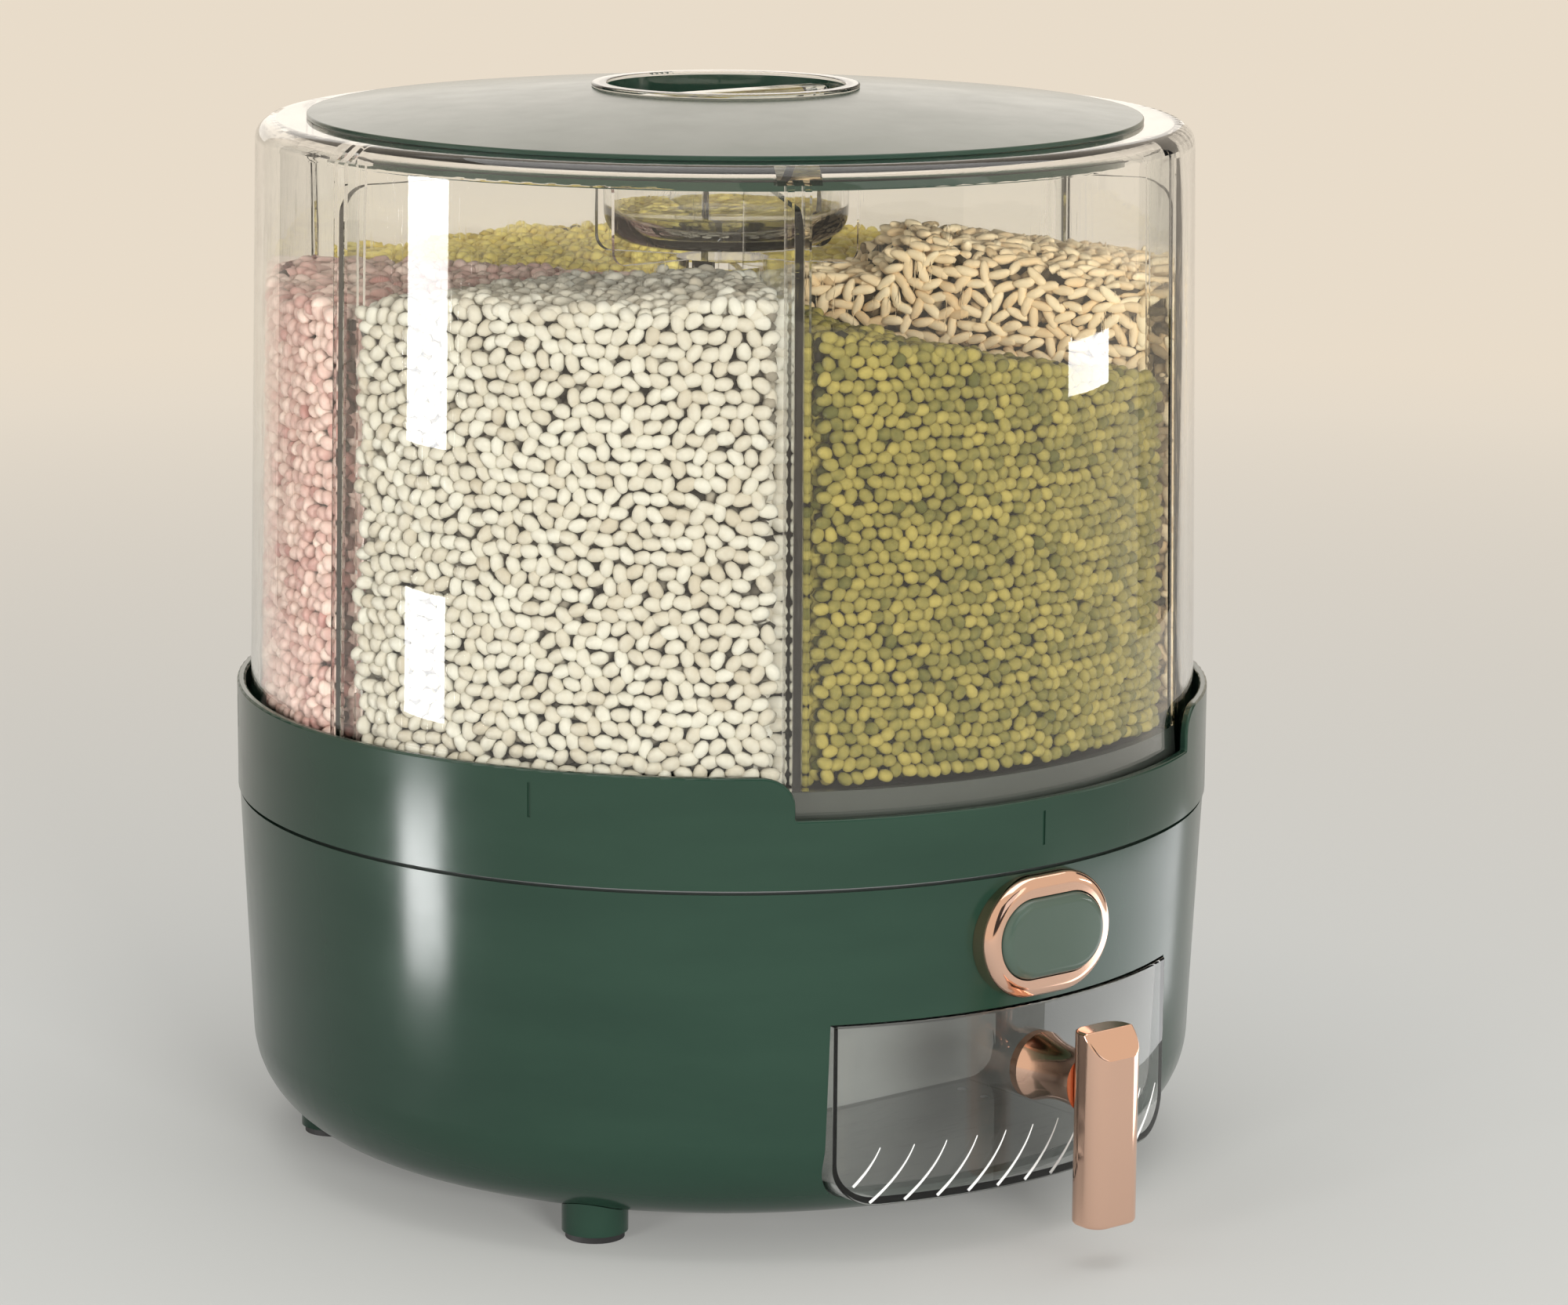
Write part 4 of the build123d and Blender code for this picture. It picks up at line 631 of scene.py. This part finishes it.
def wall_grains(fill, half, pitch, settings, draw, sunk=0.0):
    """Grains against the drum's wall, or behind those by a share of their width."""
    middle = math.radians(fill.angle)
    reach_along = WEDGE_HALF * WALL_FOOT
    top = (max(fill.heights) + fill.crown) * MILLI
    flat = scatter((-reach_along, FLOOR_RIM), (reach_along, top), pitch, draw)
    offset = flat[:, 0] / WALL_FOOT
    angle = middle + offset
    turns = grain_turns(outward(angle), sideways(angle), draw, *WALL_TURN)
    depth = reach(turns, half, outward(angle)) + settings.wall_gap
    depth += (np.abs(draw.normal(0, settings.sink, len(flat))) + 2 * sunk) * half[1]
    radius = wall_radius(flat[:, 1]) - depth
    points = outward(angle) * radius[:, None]
    points[:, 2] = flat[:, 1]
    upright = np.tile([0.0, 0.0, 1.0], (len(points), 1))
    tall = reach(turns, half, upright)
    keep = inside_wedge(points, offset, radius, turns, half, middle, settings.wall_gap)
    keep &= points[:, 2] - tall > FLOOR_RIM
    keep &= points[:, 2] + 0.5 * tall < fill_top(fill, offset, radius)
    return points[keep], turns[keep]


def top_grains(fill, half, pitch, settings, draw):
    """Grains on the surface of the fill."""
    middle = math.radians(fill.angle)
    side = WALL_FOOT * math.sin(WEDGE_HALF)
    flat = scatter((GRAIN_START, -side), (WALL_FOOT, side), pitch, draw)
    ahead, beside = outward(np.array(middle)), sideways(np.array(middle))
    points = flat[:, :1] * ahead + flat[:, 1:] * beside
    offset = np.arctan2(flat[:, 1], flat[:, 0])
    radius = np.hypot(flat[:, 0], flat[:, 1])
    upright = np.tile([0.0, 0.0, 1.0], (len(points), 1))
    spin = draw.uniform(0, 2 * math.pi, len(points))
    turns = grain_turns(upright, sideways(spin), draw, *TOP_TURN)
    points[:, 2] = fill_top(fill, offset, radius) - reach(turns, half, upright)
    points[:, 2] += draw.normal(0, 0.3, len(points)) * half[2]
    keep = inside_wedge(points, offset, radius, turns, half, middle, settings.wall_gap)
    return points[keep], turns[keep]


def face_grains(fill, neighbour, side, half, pitch, settings, draw, sunk=0.0):
    """Grains against a blade, or behind those, where the fill beyond the blade lies lower."""
    middle = math.radians(fill.angle)
    blade = middle + side * WEDGE_HALF
    beyond = neighbour.heights[0 if side > 0 else 1] * MILLI - FACE_DEPTH
    own_top = fill.heights[1 if side > 0 else 0] * MILLI + FALL_REACH * fill.fall
    if own_top - beyond < 2 * pitch:
        return np.empty((0, 3)), np.empty((0, 3, 3))
    flat = scatter((GRAIN_START, beyond), (WALL_TOP, own_top), pitch, draw)
    angle = np.full(len(flat), blade)
    inward = -side * sideways(angle)
    turns = grain_turns(inward, outward(angle), draw, *FACE_TURN)
    away = BLADE_HALF + settings.wall_gap * 1.5 + reach(turns, half, inward) + 2 * sunk * half[1]
    points = outward(angle) * flat[:, :1] + inward * away[:, None]
    points[:, 2] = flat[:, 1]
    offset, radius = place_in(points, middle)
    keep = inside_wedge(points, offset, radius, turns, half, middle, settings.wall_gap)
    keep &= points[:, 2] < fill_top(fill, offset, radius) - half[2]
    return points[keep], turns[keep]


def rib_grains(fill, side, half, pitch, settings, draw):
    """Columns of grains in the corner behind a blade's guide ribs."""
    middle = math.radians(fill.angle)
    top = (max(fill.heights) + fill.crown) * MILLI
    row = RIB_ROW * pitch
    rows = np.arange(FLOOR_RIM + half[2], top, row)
    height = np.concatenate([rows, rows + row / 2, rows])
    height = height + draw.normal(0, row / 10, len(height))
    column = np.repeat([0, 1, 2], len(rows))
    angle = np.full(len(height), middle + side * WEDGE_HALF)
    inward = -side * sideways(angle)
    turns = grain_turns(outward(angle), sideways(angle), draw, *RIB_TURN)
    away = BLADE_HALF + settings.wall_gap * 1.5 + reach(turns, half, inward) + row * column
    depth = RIB_DEPTH + 2 * settings.wall_gap + reach(turns, half, outward(angle))
    points = outward(angle) * (wall_radius(height) - depth)[:, None] + inward * away[:, None]
    points[:, 2] = height
    offset, radius = place_in(points, middle)
    keep = inside_wedge(points, offset, radius, turns, half, middle, settings.wall_gap)
    keep &= height + half[2] < fill_top(fill, offset, radius)
    return points[keep], turns[keep]


def fill_core(fill, half, start):
    """Closed body of the fill behind its outer grains, coloured near black as painted shade: points and faces,
    counted from start.
    """
    middle = math.radians(fill.angle)
    rings, columns = 16, 24
    waist = 0.19
    outer = wall_radius(waist) - CORE_IN * half[1]
    radii = np.linspace(CORE_START, outer, rings)
    points = []
    for low in (False, True):
        for radius in radii:
            limit = WEDGE_HALF - math.asin((RIB_REACH + CORE_IN * half[1]) / radius)
            for offset in np.linspace(-limit, limit, columns):
                top = fill_top(fill, offset, radius) - CORE_DOWN * half[2]
                place = outward(np.array(middle + offset)) * radius
                points.append((place[0], place[1], FLOOR_RIM + 0.001 if low else top))
    layer = rings * columns
    faces = []
    for i in range(rings - 1):
        for j in range(columns - 1):
            a = i * columns + j
            quad = (a, a + columns, a + columns + 1, a + 1)
            faces.append(quad)
            faces.append(tuple(layer + k for k in reversed(quad)))
    edge = list(range(columns))
    edge += [i * columns + columns - 1 for i in range(1, rings)]
    edge += [(rings - 1) * columns + j for j in range(columns - 2, -1, -1)]
    edge += [i * columns for i in range(rings - 2, 0, -1)]
    for a, b in zip(edge, edge[1:] + edge[:1]):
        faces.append((a, b, b + layer, a + layer))
    return points, [tuple(k + start for k in face) for face in faces]


def grain_mesh(name, layers, core):
    """One mesh of all the grains of a fill and the core behind them."""
    points, faces, shade = [], [], []
    start = 0
    for blank, blank_faces, places, turns, tones in layers:
        count, size = len(places), len(blank)
        placed = np.einsum("nij,kj->nki", turns, blank) + places[:, None]
        corners = np.arange(count)[:, None, None] * size + blank_faces[None] + start
        points += placed.reshape(-1, 3).tolist()
        faces += corners.reshape(-1, 3).tolist()
        shade += np.repeat(tones, size).tolist()
        start += count * size
    core_points, core_faces = core(start)
    mesh = bpy.data.meshes.new(name)
    mesh.from_pydata(points + core_points, [], faces + core_faces)
    mesh.polygons.foreach_set("use_smooth", np.ones(len(mesh.polygons), bool))
    tone = mesh.attributes.new("seed_tone", "FLOAT", "POINT")
    # The core takes the darkest painted shade
    tone.data.foreach_set("value", np.array(shade + [CORE_SHADE_TONE] * len(core_points), np.float32))
    mesh.update()
    return mesh


def grain_material(name, pale, deep):
    """Skin of one kind of grain."""
    material, tree, shader, _ = new_material(name)
    coat = place_group(tree, seed_coat(), {"Pale": rgba(pale), "Deep": rgba(deep)})
    dress(tree, shader, coat, WRINKLE_RELIEF, 0.35)
    return material


class DISPENSER_OT_green_shells(bpy.types.Operator):
    """Finish the base, collar, lid, feet and button cap"""

    bl_idname = "dispenser.green_shells"
    bl_label = "Green Shells"

    def execute(self, context):
        finish = context.scene.dispenser.finish
        colours = finish.green, finish.green_deep
        green = moulded_material("green_plastic", *colours, finish.green_gloss, 0.035, 0.06)
        green.node_tree.nodes["Principled BSDF"].inputs["Specular IOR Level"].default_value = 0.36
        finish_nodes("green_plastic", green)
        lid = moulded_material("green_lid", *colours, finish.lid_gloss, 0.03, 0.04)
        finish_nodes("green_plastic", lid, ["lid_shell"])
        cap = moulded_material("green_cap", finish.cap, finish.cap, finish.green_gloss, 0.035, 0.06)
        finish_nodes("green_plastic", cap, ["button_cap"])
        return {"FINISHED"}


class DISPENSER_OT_clear_parts(bpy.types.Operator):
    """Finish the drum, divider, lid well, drawer cup and grip bar"""

    bl_idname = "dispenser.clear_parts"
    bl_label = "Clear Parts"

    def execute(self, context):
        finish = context.scene.dispenser.finish
        finish_nodes("clear_plastic", clear_material("clear_plastic", finish.clear, 0.0))
        finish_nodes("clear_grip", clear_material("clear_grip", finish.grip, 0.01))
        return {"FINISHED"}


class DISPENSER_OT_plated_trim(bpy.types.Operator):
    """Finish the handle and the button's bezel"""

    bl_idname = "dispenser.plated_trim"
    bl_label = "Plated Trim"

    def execute(self, context):
        finish = context.scene.dispenser.finish
        finish_nodes("rose_gold", metal_material("rose_gold", finish.rose, finish.rose_gloss, 0.05, 0.3))
        return {"FINISHED"}


class DISPENSER_OT_inner_works(bpy.types.Operator):
    """Finish the inner mouldings, seals, pads, screws, pins and balls"""

    bl_idname = "dispenser.inner_works"
    bl_label = "Inner Works"

    def execute(self, context):
        finish = context.scene.dispenser.finish
        for name, slot_name, only, colour, roughness, texture in (
            ("grey_plastic", "grey_plastic", None, finish.grey, 0.38, 0.12),
            ("bay_plastic", "grey_plastic", ["drawer_bay"], finish.bay, 0.36, 0.12),
            ("drum_floor_plastic", "grey_plastic", ["vessel_floor"], finish.drum_floor, 0.34, 0.12),
            ("white_plastic", "white_plastic", None, finish.white, 0.35, 0.10),
            ("soft_rubber", "soft_rubber", None, finish.rubber, 0.62, 0.40),
        ):
            streak = [0.88 * c for c in colour]
            material = moulded_material(name, colour, streak, roughness, 0.06, texture)
            finish_nodes(slot_name, material, only)
        finish_nodes("steel", metal_material("steel", finish.steel, 0.22, 0.08, 0.8))
        return {"FINISHED"}


class DISPENSER_OT_ridges(bpy.types.Operator):
    """Raise the slanted ridges on the drawer's lower front, painted pale as their glints"""

    bl_idname = "dispenser.ridges"
    bl_label = "Drawer Ridges"

    def execute(self, context):
        settings = context.scene.dispenser.ridges
        mesh = frame["nodes"]["drawer_cup"].data
        skin = BVHTree.FromPolygons([v.co for v in mesh.vertices], [p.vertices for p in mesh.polygons])
        low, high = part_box("drawer_cup")
        rise = settings.top - settings.foot
        bow = (settings.foot_lean - settings.top_lean) / 2
        paths = []
        for k in range(-1, int((high.x - low.x) / settings.pitch) + 1):
            path = []
            for i in range(RIDGE_STEPS + 1):
                share = i / RIDGE_STEPS
                height = settings.foot + rise * share
                run = settings.foot_lean * share - bow * share**2
                across = low.x + k * settings.pitch + rise * run
                ahead = Vector((across, low.y - settings.pitch, height))
                spot = skin.ray_cast(ahead, Vector((0, 1, 0)))[0]
                if spot and low.x + settings.margin < across < high.x - settings.margin:
                    path.append(spot)
            if len(path) > RIDGE_STEPS // 3:
                paths.append(path)
        if not paths:
            raise RuntimeError("no ridge found the drawer's front")
        # Painted glint: the ridges are opaque and pale, standing in for the glints of clear ridges
        pale = context.scene.dispenser.finish.ridge
        material = moulded_material("ridge_painted_glint", pale, pale, 0.25, 0.03, 0.0)
        piece_mesh = wire_mesh("drawer_ridges", paths, settings.radius, 8, settings.tip)
        new_piece("drawer_ridges", piece_mesh, "drawer", material)
        return {"FINISHED"}


class DISPENSER_OT_springs(bpy.types.Operator):
    """Wind the button's compression spring and the gate's torsion spring"""

    bl_idname = "dispenser.springs"
    bl_label = "Springs"

    def execute(self, context):
        springs = context.scene.dispenser.springs
        steel = bpy.data.materials["steel"]
        self.wind_button_spring(springs, steel)
        self.wind_gate_spring(springs, steel)
        return {"FINISHED"}

    def wind_button_spring(self, springs, steel):
        """Compression spring with a closed turn at each end."""
        low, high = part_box("button_spring")
        wire = springs.button_wire
        axis_height = (low.z + high.z) / 2
        front, rear = low.y + wire, high.y - wire
        closed = CLOSED_PITCH * wire
        pitch = (rear - front - 2 * closed) / springs.button_turns
        turns = springs.button_turns + 2
        path = []
        for i in range(turns * COIL_STEPS + 1):
            turn = i / COIL_STEPS
            along = closed * min(turn, 1) + pitch * min(max(turn - 1, 0), turns - 2)
            along += closed * max(turn - turns + 1, 0)
            angle = 2 * math.pi * turn
            across, up = springs.button_coil * math.cos(angle), springs.button_coil * math.sin(angle)
            path.append(Vector((across, rear - along, axis_height + up)))
        mesh = wire_mesh("button_return_spring", [path], wire)
        piece = new_piece("button_return_spring", mesh, "base", steel)
        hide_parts("button_spring")
        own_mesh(piece)

    def wind_gate_spring(self, springs, steel):
        """Torsion spring on the gate's hub, one leg on the chute and the other under the gate."""
        pivot = Vector(next(j for j in frame["joints"] if j["name"] == "gate_swing")["pos_m"])
        low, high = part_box("gate_spring")
        start = Vector((low.x + springs.gate_wire, pivot.y, pivot.z))
        coil, leg = springs.gate_coil, springs.gate_leg
        path = [start + Vector((0, leg * (1 - k / LEG_STEPS), coil)) for k in range(LEG_STEPS)]
        steps = int(COIL_STEPS * springs.gate_turns)
        for i in range(steps + 1):
            turn = springs.gate_turns * i / steps
            angle = math.pi / 2 + 2 * math.pi * turn
            ahead, up = coil * math.cos(angle), coil * math.sin(angle)
            path.append(start + Vector((springs.gate_pitch * turn, ahead, up)))
        last = path[-1]
        path += [last + Vector((0, leg * k / LEG_STEPS, 0)) for k in range(1, LEG_STEPS + 1)]
        mesh = wire_mesh("gate_torsion_spring", [path], springs.gate_wire)
        piece = new_piece("gate_torsion_spring", mesh, None, steel)
        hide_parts("gate_spring")
        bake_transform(piece)


class DISPENSER_OT_grain(bpy.types.Operator):
    """Fill the six compartments"""

    bl_idname = "dispenser.grain"
    bl_label = "Grain"

    def execute(self, context):
        settings = context.scene.dispenser.grain
        for index, fill in enumerate(FILLS):
            name = fill.name
            draw = np.random.default_rng(settings.seed + index)
            half = np.array(fill.size) * MILLI / 2
            pitch = settings.crowding * 2 * math.sqrt(half[0] * half[1])
            sides = (FILLS[(index + 1) % len(FILLS)], -1), (FILLS[index - 1], 1)
            given = half, pitch, settings, draw
            outer = [wall_grains(fill, *given), top_grains(fill, *given)]
            outer += [face_grains(fill, *side, *given) for side in sides]
            outer += [rib_grains(fill, side, *given) for _, side in sides]
            # The second layer, behind the first, gets tones that are painted shade
            inner = [wall_grains(fill, *given, settings.behind)]
            inner += [face_grains(fill, *side, *given, settings.behind) for side in sides]
            layers = []
            for parts, detail, tone, most in (
                (outer, 2, OUTER_TONE, DARKEST),
                (inner, 1, INNER_SHADE_TONE, CORE_SHADE_TONE),
            ):
                points = np.concatenate([part[0] for part in parts])
                turns = np.concatenate([part[1] for part in parts])
                if not len(points):
                    raise RuntimeError(f"the {name} compartment got no grain")
                tones = np.clip(draw.normal(tone, TONE_SPREAD, len(points)), 0, most)
                layers.append((*grain_blank(half, fill.bend, detail), points, turns, tones))
            mesh = grain_mesh(f"grain_{name}", layers, lambda start: fill_core(fill, half, start))
            colours = getattr(settings, f"{name}_pale"), getattr(settings, f"{name}_deep")
            skin = grain_material(f"grain_{name}", *colours)
            new_piece(f"grain_{name}", mesh, "vessel", skin)
        return {"FINISHED"}


class DISPENSER_OT_stage(bpy.types.Operator):
    """Set the floor, the room, the lamps and the camera"""

    bl_idname = "dispenser.stage"
    bl_label = "Stage"

    def execute(self, context):
        stage = context.scene.dispenser.stage
        context.scene.view_settings.view_transform = "Standard"
        self.lay_floor(context, stage)
        self.light_room(context, stage)
        self.hang_lamps(context, stage)
        self.set_camera(context, stage)
        return {"FINISHED"}

    def seen_ray(self, tree):
        """1 for a ray that sees the room: from the camera, off gloss or through clear plastic."""
        path = tree.nodes.new("ShaderNodeLightPath").outputs
        seen = maths(tree, "MAXIMUM", path["Is Camera Ray"], path["Is Glossy Ray"])
        return maths(tree, "MAXIMUM", seen, path["Is Transmission Ray"])

    def lay_floor(self, context, stage):
        """Pale floor that keeps the shadow and turns into the backdrop far off."""
        bpy.ops.mesh.primitive_plane_add(size=14)
        floor = context.object
        floor.name = "floor"
        material, tree, shader, output = new_material("floor")
        place = add_node(tree, "ShaderNodeTexCoord").outputs["Object"]
        away = add_node(tree, "ShaderNodeVectorMath", {0: place}, operation="LENGTH").outputs["Value"]
        far = spread(tree, away, 0.25, 1.6)
        colour = mix_colour(tree, far, rgba(stage.floor), rgba(stage.backdrop))
        tree.links.new(colour, shader.inputs["Base Color"])
        shader.inputs["Roughness"].default_value = 0.6
        shader.inputs["Specular IOR Level"].default_value = 0.0
        glow = add_node(tree, "ShaderNodeEmission", {"Color": colour, "Strength": 1.0})
        share = maths(tree, "MULTIPLY", self.seen_ray(tree), spread(tree, away, 0.1, 1.4, 0.22, 1.0))
        mix_shaders(tree, share, shader.outputs["BSDF"], glow.outputs["Emission"], output)
        floor.data.materials.append(material)

    def light_room(self, context, stage):
        """Warm pale room, whose light on the dispenser is plain."""
        world = context.scene.world or bpy.data.worlds.new("room")
        context.scene.world = world
        world.use_nodes = True
        tree = world.node_tree
        tree.nodes.clear()
        fill, seen = (
            add_node(tree, "ShaderNodeBackground", {"Color": colour, "Strength": strength}).outputs[0]
            for colour, strength in (((1, 0.99, 0.97, 1), stage.fill), (rgba(stage.backdrop), 1.0))
        )
        output = tree.nodes.new("ShaderNodeOutputWorld")
        mix_shaders(tree, self.seen_ray(tree), fill, seen, output)

    def hang_lamp(self, context, name, place, aim, size, power, gloss=True, matt=True):
        """A rectangular lamp, unseen by the camera and clear parts, for gloss, matt parts or both."""
        lamp = bpy.data.lights.new(name, "AREA")
        lamp.shape = "RECTANGLE"
        lamp.size, lamp.size_y = size
        lamp.energy = power
        holder = bpy.data.objects.new(name, lamp)
        context.scene.collection.objects.link(holder)
        holder.location = place
        holder.rotation_euler = (Vector(aim) - Vector(place)).to_track_quat("-Z", "Y").to_euler()
        holder.visible_camera = False
        holder.visible_transmission = False
        holder.visible_glossy = gloss
        holder.visible_diffuse = matt

    def hang_lamps(self, context, stage):
        """Soft lamps round the dispenser, low ones for the grain and narrow ones for the streaks."""
        middle = (0, 0, 0.2)
        self.hang_lamp(context, "top_lamp", (0.15, 0.1, 1.5), (0, 0, 0.1), (1.5, 1.5), stage.top_lamp)
        self.hang_lamp(context, "front_lamp", (0.3, -1.9, 0.85), middle, (1.2, 0.9), stage.front_lamp)
        for name, place, share in (
            ("low_front", (-0.68, -1.88, 0.44), 1.0),
            ("low_left", (-1.9, -0.6, 0.44), 0.38),
        ):
            power = stage.low_lamp * share
            self.hang_lamp(context, name, place, middle, (0.6, 0.4), power, gloss=False)
        place = (0.95, 1.75, 0.72)
        self.hang_lamp(context, "back_lamp", place, (0, 0, 0.25), (1.7, 0.8), stage.back_lamp)
        for name, place, size in (
            ("low_strip", (-0.5404, 0.14672, 0.085), (0.108, 0.045)),
            ("high_strip", (-0.5404, 0.14672, 0.21), (0.108, 0.10)),
            ("right_spot", (0.4484, -0.3835, 0.18), (0.145, 0.02)),
        ):
            power = stage.strip_lamp * size[1]
            self.hang_lamp(context, name, place, (0, 0, place[2]), size, power, matt=False)
        self.hang_flags(context)

    def hang_flags(self, context):
        """Dark flags and bright cards, seen only in gloss."""
        for name, angle, away, size, glow in (
            ("flag_left", -158, 0.95, (0.35, 0.7), 0.055),
            ("flag_right", 84, 0.95, (0.35, 0.7), 0.055),
            ("flag_front", -8, 2.6, (2.6, 2.4), 0.055),
            ("card_left", -98, 0.34, (0.055, 0.075), 22.0),
            ("card_right", 48, 0.235, (0.22, 0.065), 2.5),
        ):
            material = bpy.data.materials.new(name)
            material.use_nodes = True
            tree = material.node_tree
            tree.nodes.clear()
            light = add_node(tree, "ShaderNodeEmission", {"Strength": glow})
            output = tree.nodes.new("ShaderNodeOutputMaterial")
            tree.links.new(light.outputs["Emission"], output.inputs["Surface"])
            turn = math.radians(angle)
            place = Vector((math.sin(turn), -math.cos(turn), 0)) * away
            bpy.ops.mesh.primitive_plane_add(size=1)
            flag = context.object
            flag.name = name
            flag.scale = (*size, 1)
            flag.location = place + Vector((0, 0, size[1] / 2))
            flag.rotation_euler = (math.pi / 2, 0, turn)
            for ray in ("camera", "diffuse", "shadow", "transmission"):
                setattr(flag, f"visible_{ray}", False)
            flag.data.materials.append(material)

    def set_camera(self, context, stage):
        """The camera at the photograph's place."""
        data = bpy.data.cameras.new("camera")
        data.sensor_width = SENSOR
        data.lens = stage.lens
        camera = bpy.data.objects.new("camera", data)
        context.scene.collection.objects.link(camera)
        level = Vector(CAMERA_LEVEL).normalized()
        ahead = level * math.cos(CAMERA_PITCH) - Vector((0, 0, math.sin(CAMERA_PITCH)))
        right = ahead.cross(Vector((0, 0, 1))).normalized()
        turn = Matrix((right, right.cross(ahead), -ahead)).transposed().to_4x4()
        rolled = turn @ Matrix.Rotation(CAMERA_ROLL, 4, "Z")
        camera.matrix_world = Matrix.Translation(CAMERA_PLACE) @ rolled
        context.scene.camera = camera


STEPS = (
    DISPENSER_OT_green_shells,
    DISPENSER_OT_clear_parts,
    DISPENSER_OT_plated_trim,
    DISPENSER_OT_inner_works,
    DISPENSER_OT_ridges,
    DISPENSER_OT_springs,
    DISPENSER_OT_grain,
    DISPENSER_OT_stage,
)


class DISPENSER_PT_sidebar(bpy.types.Panel):
    """Steps and settings of the dispenser"""

    bl_idname = "DISPENSER_PT_sidebar"
    bl_label = "Grain Dispenser"
    bl_space_type = "VIEW_3D"
    bl_region_type = "UI"
    bl_category = "Dispenser"

    def draw(self, context):
        settings = context.scene.dispenser
        for step in STEPS:
            self.layout.operator(step.bl_idname)
        for part in settings.__annotations__:
            group = getattr(settings, part)
            box = self.layout.box()
            for name in group.__annotations__:
                box.prop(group, name)


CLASSES = (
    FinishSettings,
    RidgeSettings,
    SpringSettings,
    GrainSettings,
    StageSettings,
    DispenserSettings,
    *STEPS,
    DISPENSER_PT_sidebar,
)


def register():
    """Makes the settings, operators and panel known."""
    for cls in CLASSES:
        bpy.utils.register_class(cls)
    bpy.types.Scene.dispenser = bpy.props.PointerProperty(type=DispenserSettings)


def unregister():
    """Takes them away again."""
    del bpy.types.Scene.dispenser
    for cls in reversed(CLASSES):
        bpy.utils.unregister_class(cls)


def main():
    """Dresses the dispenser."""
    register()
    bpy.ops.dispenser.green_shells()
    bpy.ops.dispenser.clear_parts()
    bpy.ops.dispenser.plated_trim()
    bpy.ops.dispenser.inner_works()
    bpy.ops.dispenser.ridges()
    bpy.ops.dispenser.springs()
    bpy.ops.dispenser.grain()
    bpy.ops.dispenser.stage()
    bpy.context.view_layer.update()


if __name__ == "__main__":
    main()
